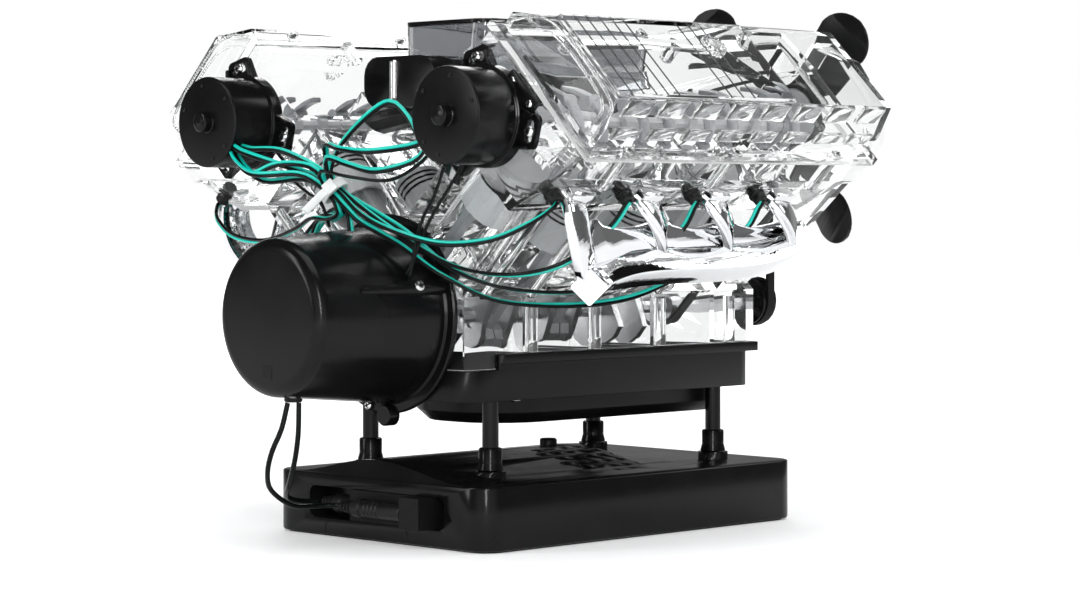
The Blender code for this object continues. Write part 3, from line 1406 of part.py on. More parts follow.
def motor_cover():
    wall = MOTOR_COVER_SKIN
    flange_rear, lug_rear = BELL_FRONT - BELL_FLANGE_THICK, BELL_FRONT - BELL_FLANGE_THICK * 2
    profile = [(BELL_FRONT, COVER_BARREL - wall), (BELL_FRONT, BELL_FLANGE), (flange_rear, BELL_FLANGE),
               (lug_rear, COVER_BARREL)]
    centre_x, centre_r = COVER_BACK + COVER_ROUND, COVER_BACK_RADIUS - COVER_ROUND
    profile += [(x, r) for r, x in arc((centre_r, centre_x), COVER_ROUND, 0, -90, EDGE_STEPS)]
    profile.append((COVER_BACK, 0.0))
    profile.append((COVER_BACK + wall, 0.0))
    inner = arc((centre_r, centre_x), COVER_ROUND - wall, -90, 0, EDGE_STEPS - 1)
    profile += [(x, r) for r, x in inner]
    mesh = turned_along_x(profile, ROUND + TINY_ROUND, 0.0, CRANK_Z)
    obj = add("motor_cover", mesh, black_gloss())
    for angle in LUG_ANGLES_DEG:
        (y, z), = arc((0.0, CRANK_Z), LUG_CIRCLE, angle, angle, 1)[:1]
        join(obj, rod_x(LUG_RADIUS, lug_rear, BELL_FRONT - FUSE / 2, y, z, SMALL_ROUND))
    x, y = LEAD_GLAND
    top = CRANK_Z - COVER_BACK_RADIUS
    join(obj, rod_z(GLAND_RADIUS, top - GLAND_LENGTH, top + wall, x, y, SMALL_ROUND))
    cut(obj, rod_z(GLAND_RADIUS - wall / 2, top - GLAND_LENGTH + wall, top + wall * 2, x, y, SMALL_ROUND))
    return obj


def motor_axis_z():
    return CRANK_Z + FLYWHEEL_RADIUS + PINION_RADIUS + GEAR_CLEAR


def motor():
    rear = COVER_BACK + MOTOR_COVER_SKIN + MOTOR_STANDOFF
    z = motor_axis_z()
    front = rear + MOTOR_LENGTH
    nose = MOTOR_RADIUS * MOTOR_NOSE_SHARE
    profile = ((front, 0.0), (front, nose), (front - MOTOR_COVER_SKIN, MOTOR_RADIUS), (rear, MOTOR_RADIUS),
               (rear, 0.0))
    return add("motor", turned_along_x(profile, ROUND, 0.0, z), steel())


def pinion():
    z = motor_axis_z()
    axis = anchor("pinion_axis", (0, 0, z))
    start = COVER_BACK + MOTOR_COVER_SKIN + MOTOR_STANDOFF + MOTOR_LENGTH + GAP
    outline = toothed_outline((0.0, z), PINION_RADIUS, GEAR_TOOTH, PINION_TEETH)
    gear = prism(outline, GEAR_REAR - GEAR_THICK / 2, GEAR_REAR + GEAR_THICK)
    obj = add("motor_pinion", gear, grey(), axis)
    join(obj, rod_x(GEAR_TOOTH, start, GEAR_REAR, 0.0, 0.0, TINY_ROUND))
    return obj


# Distributors

def distributor(name, side):
    y, z = bank_point(side, CAM_U, CAM_V)
    wall = DISTRIBUTOR_WALL
    front, rear = DISTRIBUTOR_FRONT, DISTRIBUTOR_REAR
    collar = front - DISTRIBUTOR_COLLAR_LENGTH
    profile = (
        (front, 0.0), (front, DISTRIBUTOR_COLLAR), (collar, DISTRIBUTOR_COLLAR), (collar, DISTRIBUTOR_RADIUS),
        (rear, DISTRIBUTOR_RADIUS), (rear, DISTRIBUTOR_BOSS), (DISTRIBUTOR_BOSS_END, DISTRIBUTOR_BOSS),
        (DISTRIBUTOR_BOSS_END, 0.0),
    )
    obj = add(f"distributor_{name}", turned_along_x(profile, ROUND, y, z), black_gloss())
    for angle in EAR_ANGLES_DEG:
        turn = math.degrees(math.asin(EAR_SPREAD / EAR_CIRCLE))
        outer = arc((y, z), EAR_CIRCLE, angle - turn, angle + turn, 1)
        inner = arc((y, z), DISTRIBUTOR_RADIUS, angle - turn, angle + turn, 1)
        circles = [(*place, EAR_RADIUS) for place in outer]
        circles += [(*place, EAR_RADIUS * EAR_ROOT_SHARE) for place in inner]
        outline = hull_outline(circles, steps=TINY_ROUND)
        ear = prism(outline, front - EAR_THICK - FUSE, front - FUSE)
        join(obj, ear)
    cut(obj, rod_x(DISTRIBUTOR_RADIUS - wall, rear + wall, front + OVERRUN, y, z, ROUND))
    half = NOTCH_WIDTH / 2
    notch = box((NOTCH_REAR, DISTRIBUTOR_RADIUS / 2, -half), (NOTCH_FRONT, DISTRIBUTOR_COLLAR, half))
    notch_angle = math.radians(NOTCH_DIRECTION_DEG if side < 0 else 180.0 - NOTCH_DIRECTION_DEG)
    notch.transform(Matrix.Translation((0, y, z)) @ Matrix.Rotation(notch_angle, 4, "X"))
    cut(obj, notch)
    for angle in EAR_ANGLES_DEG:
        (ey, ez), = arc((y, z), EAR_CIRCLE + EAR_HOLE / 2, angle, angle, 1)[:1]
        cut(obj, rod_x(EAR_HOLE, front - EAR_THICK * 2, front + OVERRUN, ey, ez, TINY_ROUND))
    return obj


# Intake and exhaust

def intake_manifold():
    low, high = PLENUM_LOW, PLENUM_HIGH
    plenum = box((PLENUM_REAR, -PLENUM_HALF, low), (PLENUM_FRONT, PLENUM_HALF, high))
    obj = add("intake_manifold", plenum, black_gloss())
    join(obj, throttle_body())
    for _, side in SIDES:
        for i in range(CYLINDERS):
            outer = Vector((throw_x(i) + side * ROD_OFFSET, *bank_point(side, RUNNER_U, 0.0)))
            inner = Vector((throw_x(i) * RUNNER_GATHER_SHARE, 0.0, RUNNER_INNER_Z))
            join(obj, tube([inner, outer], RUNNER_RADIUS * 2, 2))
        seat = -HEAD_IN - GAP
        face = ((seat, ROOF_U), (HEAD_RIM_OUT, ROOF_U), (HEAD_RIM_OUT, COVER_TOP), (seat, COVER_TOP))
        beyond = bank_prism(side, face, THROTTLE_REAR, PLENUM_FRONT + THROW_SPACING)
        beyond.transform(bank_matrix(side))
        cut(obj, beyond)
    return obj


def air_box():
    outline = rounded_box((AIR_BOX_REAR, -AIR_BOX_HALF), (AIR_BOX_FRONT, AIR_BOX_HALF), AIR_BOX_CORNER)
    obj = add("air_box", slab(outline, AIR_BOX_LOW, AIR_BOX_HIGH), smoke())
    skin = AIR_BOX_SKIN
    low = (AIR_BOX_REAR + skin, -AIR_BOX_HALF + skin)
    inside = rounded_box(low, (AIR_BOX_FRONT - skin, AIR_BOX_HALF - skin), AIR_BOX_CORNER - skin)
    return cut(obj, slab(inside, AIR_BOX_LOW - OVERRUN, AIR_BOX_HIGH - skin))


def throttle_body():
    """The body behind the air box, one moulding with the plenum."""
    low, high = (-THROTTLE_HALF, THROTTLE_LOW), (THROTTLE_HALF, THROTTLE_HIGH)
    return prism(rounded_box(low, high, THROTTLE_CORNER), THROTTLE_REAR, AIR_BOX_REAR - GAP)


def exhaust(name, side):
    """A square pipe along the bank with four flat runners up to the head."""
    route = [(x, -side * y, z) for x, y, z in PIPE_ROUTE]
    obj = add(f"exhaust_{name}", tube(smooth_route(route, PIPE_DEPTH), PIPE_DEPTH * 2, 0), chrome())
    side_slope = (HEAD_SIDE_OUT - HEAD_FOOT_OUT) / (HEAD_RIM_LOW - DECK_U)
    face_v = HEAD_FOOT_OUT + side_slope * (FLANGE_U - DECK_U) + FLANGE_V_GAP + PORT_HEIGHT * side_slope / 2
    bank = bank_matrix(side)
    for i in range(CYLINDERS):
        x = PORT_FIRST_X + BOOT_SPACING * i
        low_x = x + PORT_SHIFT
        pipe = min((Vector(p) for p in smooth_route(route, PIPE_DEPTH / 2)), key=lambda p: abs(p.x - low_x))
        inner = bank.inverted() @ pipe
        wide, high = PORT_WIDTH / 2, PORT_HEIGHT / 2
        port = box((x - wide, 0.0, FLANGE_U - high), (x + wide, PORT_THICK, FLANGE_U + high))
        shift = face_v if side > 0 else -face_v - PORT_THICK
        port.transform(Matrix.Translation((0, shift, 0)))
        top = Vector((x, side * (face_v + PORT_THICK / 2), FLANGE_U))
        runner = bar(top, inner, RUNNER_BAR_WIDTH, RUNNER_BAR_THICK)
        port.transform(bank)
        runner.transform(bank)
        join(obj, runner, port)
    return obj


def bar(start, end, width, thick):
    """A flat bar between two places, wide along X."""
    bm = bmesh.new()
    bmesh.ops.create_cube(bm, size=1.0)
    bmesh.ops.scale(bm, vec=(width, thick, 1.0), verts=bm.verts)
    for vert in bm.verts:
        place = end if vert.co.z > 0 else start
        vert.co = place + Vector((vert.co.x, vert.co.y, 0.0))
    return mesh_of(bm)


# Wiring

def tie_frame():
    """From the tie's own axes, with Z along the bundle, to world places."""
    direction = Vector(TIE_DIRECTION).normalized()
    return Matrix.Translation(TIE_CENTRE) @ direction.to_track_quat("Z", "Y").to_matrix().to_4x4()


def bundled(start, end, index, count):
    """A lead's route through the tie, in its own place in the bundle."""
    angle = 2 * math.pi * index / (count - 1)
    radius = BUNDLE_RADIUS if index < count - 1 else 0.0
    x, y, z = radius * math.cos(angle), radius * math.sin(angle), TIE_LENGTH / 2
    middle = [tie_frame() @ Vector((x, y, place)) for place in (-z, z)]
    return list(start) + middle + list(end)


def boot_end(side, index):
    """The outer end of a spark plug boot."""
    return bank_matrix(side) @ Vector((boot_x(index), side * BOOT_TOP_V, BOOT_U))


def lead_routes():
    """The route of each lead of the harness, from a distributor to a boot or the motor cover."""
    count = CYLINDERS * 2 + 1
    routes = []
    for i in range(CYLINDERS):
        end = (*NEAR_TURNS[i], *((x, -y, z) for x, y, z in LEAD_ENDS[i]), boot_end(-1, i))
        routes.append(bundled(NEAR_STARTS[i], end, NEAR_PLACES[i], count))
        end = (*FAR_TURNS[i], *LEAD_ENDS[i], boot_end(1, i))
        routes.append(bundled(FAR_STARTS[i], end, FAR_PLACES[i], count))
    routes.append(bundled(FEED_START, FEED_END, count - 1, count))
    return routes


def wiring_harness():
    """Spark leads from both distributors through the tie to the boots, joined in the bundle's core."""
    half = TIE_LENGTH / 2
    core = rod_z(TIE_CORE - GAP, -half, half, sides=SMALL_ROUND)
    core.transform(tie_frame())
    obj = add("wiring_harness", core, teal())
    for route in lead_routes():
        join(obj, tube(smooth_route(route, WIRE_STEP), WIRE_DIAMETER, 1))
    for _, side in SIDES:
        for i in range(CYLINDERS):
            boot = rod_y(BOOT_RADIUS, side * BOOT_BASE_V, side * BOOT_TOP_V, boot_x(i), BOOT_U, TINY_ROUND)
            boot.transform(bank_matrix(side))
            join(obj, boot)
    return obj


def wire_tie():
    half = TIE_WIDTH / 2
    profile = ((TIE_CORE, half), (TIE_OUTER, half), (TIE_OUTER, -half), (TIE_CORE, -half))
    mesh = turned(profile, SMALL_ROUND)
    mesh.transform(tie_frame())
    return add("wire_tie", mesh, white())


def build():
    clear_scene()
    make_collections()
    base_shell()
    base_floor()
    start_button()
    speaker()
    socket_block()
    plugs_and_leads()
    posts()
    oil_pan()
    crankcase()
    crank = anchor("crank_axis", (0, 0, CRANK_Z))
    bpy.context.view_layer.update()
    crankshaft(crank)
    flywheel(crank)
    crank_pulley(crank)
    dowel_axes = dowels(crank)
    rods_and_pistons(crank, dowel_axes)
    for name, side in SIDES:
        bank = anchor(f"bank_{name}", (0, 0, CRANK_Z), -side * BANK_ANGLE)
        bpy.context.view_layer.update()
        cylinder_block(name, side, bank)
        cylinder_head(name, side, bank)
        valve_cover(name, side, bank)
        camshaft(name, side)
        distributor(name, side)
        exhaust(name, side)
    timing_belt()
    timing_cover()
    fan_housing()
    fan_axis = anchor("fan_axis", (0, 0, FAN_Z))
    bpy.context.view_layer.update()
    fan(fan_axis)
    fan_belt()
    motor_cover()
    motor()
    pinion()
    intake_manifold()
    air_box()
    wiring_harness()
    wire_tie()


build()
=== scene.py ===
"""Looks of the four stroke engine model: its dressed pieces, its wiring, the studio and the camera.

Metres, +Z up. +X is the fan end, -X the motor cover end. The near bank leans towards -Y and the far bank
towards +Y. A bank's own axes are x along the crankshaft, y across the bank and z along its cylinders.
"""
from __future__ import annotations

import json
import logging
import math
from dataclasses import dataclass
from enum import Enum
from typing import Iterable, Sequence

import bmesh
import bpy
from mathutils import Matrix, Vector

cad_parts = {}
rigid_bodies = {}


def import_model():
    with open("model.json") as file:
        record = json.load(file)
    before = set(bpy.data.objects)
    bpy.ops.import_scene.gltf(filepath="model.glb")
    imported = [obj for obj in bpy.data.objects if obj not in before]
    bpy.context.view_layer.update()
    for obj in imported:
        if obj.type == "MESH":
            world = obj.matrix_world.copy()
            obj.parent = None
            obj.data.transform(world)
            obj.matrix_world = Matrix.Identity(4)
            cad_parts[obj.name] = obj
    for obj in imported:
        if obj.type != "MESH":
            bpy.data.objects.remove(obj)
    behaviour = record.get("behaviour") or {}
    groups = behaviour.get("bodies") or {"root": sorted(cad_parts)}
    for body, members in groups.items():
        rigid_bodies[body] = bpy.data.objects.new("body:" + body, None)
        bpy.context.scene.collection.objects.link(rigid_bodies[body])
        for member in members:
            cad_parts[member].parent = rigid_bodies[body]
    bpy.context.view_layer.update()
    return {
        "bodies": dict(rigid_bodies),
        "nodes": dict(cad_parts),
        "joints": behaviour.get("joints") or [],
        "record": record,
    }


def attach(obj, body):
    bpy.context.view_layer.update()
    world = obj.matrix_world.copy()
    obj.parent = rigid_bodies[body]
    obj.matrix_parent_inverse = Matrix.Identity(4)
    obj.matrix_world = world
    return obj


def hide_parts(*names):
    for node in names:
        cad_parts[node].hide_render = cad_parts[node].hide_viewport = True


log = logging.getLogger("engine_model")

Point = Sequence[float]
HERE = Matrix.Identity(4)
WELD = 0.00001
ROOT = "stand_and_engine"
CRANK_HEIGHT = 0.1048
BANK_CYLINDERS = 4
SHARP = math.radians(35)
FLAT = math.radians(1)
CORD_STEP = 1.3
FULL_TURN = 2 * math.pi


class Side(Enum):
    """A bank of cylinders, by the sign of the direction that it leans to along Y."""

    NEAR = -1
    FAR = 1

    @property
    def word(self) -> str:
        """The side's name as the model's nodes spell it."""
        return self.name.lower()


class Slot(str, Enum):
    """The material slots of the part's record."""

    BLACK_GLOSS = "black_gloss"
    CLEAR = "clear"
    SMOKE = "smoke"
    CHROME = "chrome"
    GREY = "grey"
    STEEL = "steel"
    BLACK_RUBBER = "black_rubber"
    TEAL = "teal"
    WHITE = "white"


@dataclass(frozen=True)
class Bank:
    """One bank of cylinders and its place on the crankcase."""

    side: Side
    crank_height: float = CRANK_HEIGHT
    lean: float = math.radians(45.0)

    def frame(self) -> Matrix:
        """From the bank's own axes to the model's."""
        return Matrix.Translation((0, 0, self.crank_height)) @ Matrix.Rotation(-self.side.value * self.lean, 4, "X")

    def place(self, x: float, out: float, up: float) -> Vector:
        """A place of the bank.

        Args:
            x: Place along the crankshaft.
            out: Distance outwards from the cylinders' axes.
            up: Distance along the cylinders from the crankshaft.

        Returns:
            The place in the model's axes.
        """
        return self.frame() @ Vector((x, self.side.value * out, up))


BANKS = (Bank(Side.NEAR), Bank(Side.FAR))


def along_x(place: Point) -> Matrix:
    """A frame whose own Z axis points along +X.

    Args:
        place: Where the frame's origin is.

    Returns:
        The frame as a matrix.
    """
    return Matrix.Translation(place) @ Matrix.Rotation(math.pi / 2, 4, "Y")


def facing(place: Point, direction: Point) -> Matrix:
    """A frame whose own Z axis points along a direction.

    Args:
        place: Where the frame's origin is.
        direction: The direction of its Z axis.

    Returns:
        The frame as a matrix.
    """
    return Matrix.Translation(place) @ Vector(direction).to_track_quat("Z", "Y").to_matrix().to_4x4()


def arc(centre: Point, radius: float, start: float, end: float, steps: int) -> list[tuple[float, float]]:
    """Points on an arc in a plane, both ends included.

    Args:
        centre: The arc's middle.
        radius: Its radius.
        start: First angle in degrees.
        end: Last angle in degrees.
        steps: Number of steps.

    Returns:
        The points.
    """
    angles = (math.radians(start + (end - start) * i / steps) for i in range(steps + 1))
    return [(centre[0] + radius * math.cos(a), centre[1] + radius * math.sin(a)) for a in angles]


def rounded(low: Point, high: Point, radius: float, steps: int = 5) -> list[tuple[float, float]]:
    """A rectangle's outline with round corners.

    Args:
        low: Lowest corner.
        high: Highest corner.
        radius: Corner radius.
        steps: Steps of each corner.

    Returns:
        The outline, anticlockwise.
    """
    r = radius
    points = arc((low[0] + r, low[1] + r), r, 180, 270, steps)
    points += arc((high[0] - r, low[1] + r), r, 270, 360, steps)
    points += arc((high[0] - r, high[1] - r), r, 0, 90, steps)
    return points + arc((low[0] + r, high[1] - r), r, 90, 180, steps)


def circle(radius: float, sides: int) -> list[tuple[float, float]]:
    """A circle's outline as a polygon.

    Args:
        radius: The circle's radius.
        sides: The polygon's sides.

    Returns:
        The outline.
    """
    return arc((0, 0), radius, 0, 360 - 360 / sides, sides - 1)


def smooth_route(route: Iterable[Point], step: float) -> list[Vector]:
    """Points about a step apart on a smooth curve through the route's points.

    Args:
        route: The points that the curve passes through.
        step: Distance between the points that come back.

    Returns:
        The points.
    """
    knots = [Vector(p) for p in route]
    ends = [knots[0] * 2 - knots[1], *knots, knots[-1] * 2 - knots[-2]]
    points = []
    for a, b, c, d in zip(ends, ends[1:], ends[2:], ends[3:]):
        count = max(1, round((c - b).length / step))
        for i in range(count):
            t = i / count
            points.append(0.5 * (2 * b + (c - a) * t + (2 * a - 5 * b + 4 * c - d) * t ** 2
                                 + (3 * b - a - 3 * c + d) * t ** 3))
    points.append(knots[-1])
    return points


def frames_along(points: Sequence[Vector], up: Point = (0, 0, 1)) -> list[Matrix]:
    """Frames along a line, with Z along it, that turn as little as they can.

    Args:
        points: The line's points.
        up: Direction that the first frame's Y axis leans to.

    Returns:
        A frame for each point.
    """
    frames = []
    normal = Vector(up)
    for i, point in enumerate(points):
        ahead = points[min(i + 1, len(points) - 1)] - points[max(i - 1, 0)]
        ahead.normalize()
        side = normal.cross(ahead).normalized()
        normal = ahead.cross(side).normalized()
        turn = Matrix((side, normal, ahead)).transposed().to_4x4()
        frames.append(Matrix.Translation(point) @ turn)
    return frames


def length_of(points: Sequence[Vector]) -> float:
    """The length of a line through points.

    Args:
        points: The line's points.

    Returns:
        The length in metres.
    """
    return sum((b - a).length for a, b in zip(points, points[1:]))


class Graph:
    """A node tree in the making."""

    def __init__(self, tree: bpy.types.NodeTree) -> None:
        """Starts on a tree.

        Args:
            tree: The tree that the nodes go into.
        """
        self.tree = tree

    def fill(self, node: bpy.types.Node, inputs: dict[str | int, object]) -> None:
        """Links a node's inputs to other sockets, or sets their values.

        Args:
            node: The node.
            inputs: Output sockets or values for its inputs, by name or place.
        """
        for key, value in inputs.items():
            if isinstance(value, bpy.types.NodeSocket):
                self.tree.links.new(value, node.inputs[key])
            else:
                node.inputs[key].default_value = value

    def add(self, kind: str, inputs: dict[str | int, object] | None = None, **settings: object) -> bpy.types.Node:
        """Adds a node.

        Args:
            kind: The node's type.
            inputs: Values or sockets for its inputs, by name or place.
            settings: Values for its other properties.

        Returns:
            The node.
        """
        node = self.tree.nodes.new(kind)
        for key, value in settings.items():
            setattr(node, key, value)
        self.fill(node, inputs or {})
        return node

    def group(self, tree: bpy.types.NodeTree, inputs: dict[str, object]) -> bpy.types.NodeOutputs:
        """Adds a node group.

        Args:
            tree: The group's tree.
            inputs: Values or sockets for its inputs, by name.

        Returns:
            Its outputs.
        """
        return self.add("ShaderNodeGroup", inputs, node_tree=tree).outputs

    def noise(self, place: object, scale: object, detail: float, **more: float) -> bpy.types.NodeSocket:
        """Adds a Noise Texture node.

        Args:
            place: The socket of the coordinates.
            scale: Its scale, or a socket for it.
            detail: Its detail.
            more: Values for further inputs, by name.

        Returns:
            The noise.
        """
        inputs = {"Vector": place, "Scale": scale, "Detail": detail, **more}
        return self.add("ShaderNodeTexNoise", inputs).outputs[0]

    def ramp(self, value: object, start: float, end: float, low: object = 0.0, high: object = 1.0,
             kind: str = "LINEAR") -> bpy.types.NodeSocket:
        """Adds a Map Range node that holds the values at its ends.

        Args:
            value: The socket that is mapped.
            start: Its value where the ramp starts.
            end: Its value where the ramp ends.
            low: Result at the start, or a socket for it.
            high: Result at the end.
            kind: The ramp's interpolation.

        Returns:
            The mapped value.
        """
        inputs = {0: value, 1: start, 2: end, 3: low, 4: high}
        return self.add("ShaderNodeMapRange", inputs, interpolation_type=kind).outputs[0]

    def maths(self, operation: str, a: object, b: object = 0.0, clamp: bool = False) -> bpy.types.NodeSocket:
        """Adds a Math node.

        Args:
            operation: What it does.
            a: First value or socket.
            b: Second value or socket.
            clamp: Whether the result stays from 0 to 1.

        Returns:
            Its output.
        """
        return self.add("ShaderNodeMath", {0: a, 1: b}, operation=operation, use_clamp=clamp).outputs[0]

    def times(self, a: object, b: object, clamp: bool = False) -> bpy.types.NodeSocket:
        """Multiplies two values.

        Args:
            a: First value or socket.
            b: Second value or socket.
            clamp: Whether the result stays from 0 to 1.

        Returns:
            The product.
        """
        return self.maths("MULTIPLY", a, b, clamp)

    def pick(self, share: object, a: object, b: object) -> bpy.types.NodeSocket:
        """Mixes two values.

        Args:
            share: Share of the second value.
            a: First value or socket.
            b: Second value or socket.

        Returns:
            The mixed value.
        """
        return self.add("ShaderNodeMix", {0: share, 2: a, 3: b}, data_type="FLOAT").outputs[0]

    def blend(self, share: object, a: object, b: object) -> bpy.types.NodeSocket:
        """Mixes two colours.

        Args:
            share: Share of the second colour.
            a: First colour or socket.
            b: Second colour or socket.

        Returns:
            The mixed colour.
        """
        return self.add("ShaderNodeMix", {0: share, 6: a, 7: b}, data_type="RGBA").outputs[2]


def new_group(name: str, inputs: Sequence[tuple[str, str]], outputs: Sequence[tuple[str, str]]) -> Graph | None:
    """Starts a shader node group, unless it exists.

    Args:
        name: The group's name.
        inputs: Names and socket types of its inputs.
        outputs: Names and socket types of its outputs.

    Returns:
        The group's graph, or None where the group is there already.
    """
    if name in bpy.data.node_groups:
        return None
    tree = bpy.data.node_groups.new(name, "ShaderNodeTree")
    for direction, sockets in (("INPUT", inputs), ("OUTPUT", outputs)):
        for label, kind in sockets:
            tree.interface.new_socket(label, in_out=direction, socket_type=kind)
    return Graph(tree)


def moulded_skin() -> bpy.types.NodeTree:
    """The group for moulded plastic: patches of tone and gloss, and a fine grain.

    Returns:
        The group.
    """
    name, value, colour, vector = "moulded_skin", "NodeSocketFloat", "NodeSocketColor", "NodeSocketVector"
    deep_from, deep_full = 0.35, 0.65
    graph = new_group(name, (("Place", vector), ("Colour", colour), ("Deep Colour", colour), ("Roughness", value),
                             ("Spread", value), ("Patch Scale", value), ("Grain Scale", value)),
                      (("Colour", colour), ("Roughness", value), ("Height", value)))
    if graph:
        given = graph.add("NodeGroupInput").outputs
        patches = graph.noise(given["Place"], given["Patch Scale"], 3.0)
        streaks = graph.noise(given["Place"], given["Grain Scale"], 5.0, Roughness=0.65)
        tone = graph.ramp(patches, deep_from, deep_full)
        mixed = graph.blend(tone, given["Colour"], given["Deep Colour"])
        swing = graph.times(graph.maths("SUBTRACT", tone, 0.5), given["Spread"])
        fine = graph.times(graph.maths("SUBTRACT", streaks, 0.5), given["Spread"])
        rough = graph.maths("ADD", graph.maths("ADD", given["Roughness"], swing), fine, True)
        graph.add("NodeGroupOutput", {"Colour": mixed, "Roughness": rough, "Height": streaks})
    return bpy.data.node_groups[name]


def settled_dust() -> bpy.types.NodeTree:
    """The group for the little dust that lies on faces that look up.

    Returns:
        The group.
    """
    name, value = "settled_dust", "NodeSocketFloat"
    speck_scale, speck_from, speck_full, cloud_scale, lying_from = 900.0, 0.5, 0.72, 45.0, 0.4
    graph = new_group(name, (("Place", "NodeSocketVector"), ("Amount", value)), (("Mask", value),))
    if graph:
        given = graph.add("NodeGroupInput").outputs
        normal = graph.add("ShaderNodeNewGeometry").outputs["Normal"]
        upward = graph.add("ShaderNodeSeparateXYZ", {0: normal}).outputs[2]
        specks = graph.ramp(graph.noise(given["Place"], speck_scale, 4.0), speck_from, speck_full)
        clouds = graph.noise(given["Place"], cloud_scale, 3.0)
        lying = graph.times(graph.ramp(upward, lying_from, 1.0), specks)
        graph.add("NodeGroupOutput", {"Mask": graph.times(graph.times(lying, clouds), given["Amount"], True)})
    return bpy.data.node_groups[name]


def mould_flow() -> bpy.types.NodeTree:
    """The group for clear mouldings: slow waves from the mould and faint smears of gloss.

    Returns:
        The group.
    """
    name, value = "mould_flow", "NodeSocketFloat"
    smear_scale, smear_from, smear_full = 160.0, 0.55, 0.8
    graph = new_group(name, (("Place", "NodeSocketVector"), ("Roughness", value), ("Smear", value),
                             ("Wave Scale", value)), (("Roughness", value), ("Height", value)))
    if graph:
        given = graph.add("NodeGroupInput").outputs
        waves = graph.noise(given["Place"], given["Wave Scale"], 1.0, Distortion=0.8)
        patch = graph.ramp(graph.noise(given["Place"], smear_scale, 4.0), smear_from, smear_full)
        rough = graph.maths("ADD", given["Roughness"], graph.times(patch, given["Smear"]), True)
        graph.add("NodeGroupOutput", {"Roughness": rough, "Height": waves})
    return bpy.data.node_groups[name]


def dark_sides() -> bpy.types.NodeTree:
    """The group for the sides of the studio, as mirrors see them.

    Dark curtains hang left and right of the camera. White card stands between them, bright behind the camera and
    dim across from it.

    Returns:
        The group.
    """
    name, value = "dark_sides", "NodeSocketFloat"
    curtain_edge, card_edge, card_middle, card_fall, least = -0.45, 0.55, 0.62, 0.27, 0.0001
    graph = new_group(name, (("Direction", "NodeSocketVector"), ("Darkest", value)), (("Level", value),))
    if graph:
        given = graph.add("NodeGroupInput").outputs
        x, y, _ = graph.add("ShaderNodeSeparateXYZ", {0: given["Direction"]}).outputs
        reach = graph.maths("MAXIMUM", graph.maths("ADD", graph.times(x, x), graph.times(y, y)), least)
        turn = graph.maths("DIVIDE", graph.times(graph.times(x, y), 2.0), reach)
        level = graph.ramp(turn, curtain_edge, card_edge, given["Darkest"], 1.0, "SMOOTHSTEP")
        lean = graph.maths("DIVIDE", graph.maths("ADD", x, y), graph.maths("SQRT", reach))
        away = graph.maths("SUBTRACT", card_middle, graph.times(lean, card_fall))
        graph.add("NodeGroupOutput", {"Level": graph.times(level, away)})
    return bpy.data.node_groups[name]


def fresh_material(name: str) -> tuple[bpy.types.Material, Graph, bpy.types.Node, bpy.types.NodeSocket]:
    """A new material with a Principled shader.

    Args:
        name: Its name.

    Returns:
        The material, its graph, the shader and the Object coordinates.
    """
    material = bpy.data.materials.new(name)
    material.use_nodes = True
    graph = Graph(material.node_tree)
    shader = material.node_tree.nodes["Principled BSDF"]
    return material, graph, shader, graph.add("ShaderNodeTexCoord").outputs["Object"]


DUST_COLOUR = (0.42, 0.41, 0.39, 1)
DUST_ROUGHNESS = 0.5


@dataclass(frozen=True)
class Moulding:
    """An opaque finish: moulded plastic, soft plastic, bare or plated metal."""

    name: str
    colour: tuple[float, float, float]
    deep: tuple[float, float, float]
    roughness: float
    spread: float = 0.06
    grain: float = 0.00001
    grain_scale: float = 700.0
    patch_scale: float = 30.0
    coat: float = 0.0
    dust: float = 0.0
    metallic: float = 0.0
    shine: float = 0.5
    coat_roughness: float = 0.04

    def material(self) -> bpy.types.Material:
        """The finish as a material, made once."""
        found = bpy.data.materials.get(self.name)
        if found:
            return found
        material, graph, shader, place = fresh_material(self.name)
        skin = graph.group(moulded_skin(), {
            "Place": place, "Colour": (*self.colour, 1), "Deep Colour": (*self.deep, 1),
            "Roughness": self.roughness, "Spread": self.spread, "Patch Scale": self.patch_scale,
            "Grain Scale": self.grain_scale})
        colour, rough = skin["Colour"], skin["Roughness"]
        if self.dust:
            mask = graph.group(settled_dust(), {"Place": place, "Amount": self.dust})["Mask"]
            colour = graph.blend(mask, colour, DUST_COLOUR)
            rough = graph.maths("ADD", rough, graph.times(mask, DUST_ROUGHNESS), True)
        bump = graph.add("ShaderNodeBump", {"Height": skin["Height"], "Distance": self.grain, "Strength": 1.0})
        graph.fill(shader, {
            "Base Color": colour, "Roughness": rough, "Normal": bump.outputs[0], "Metallic": self.metallic,
            "Specular IOR Level": self.shine, "Coat Weight": self.coat, "Coat Roughness": self.coat_roughness})
        return material


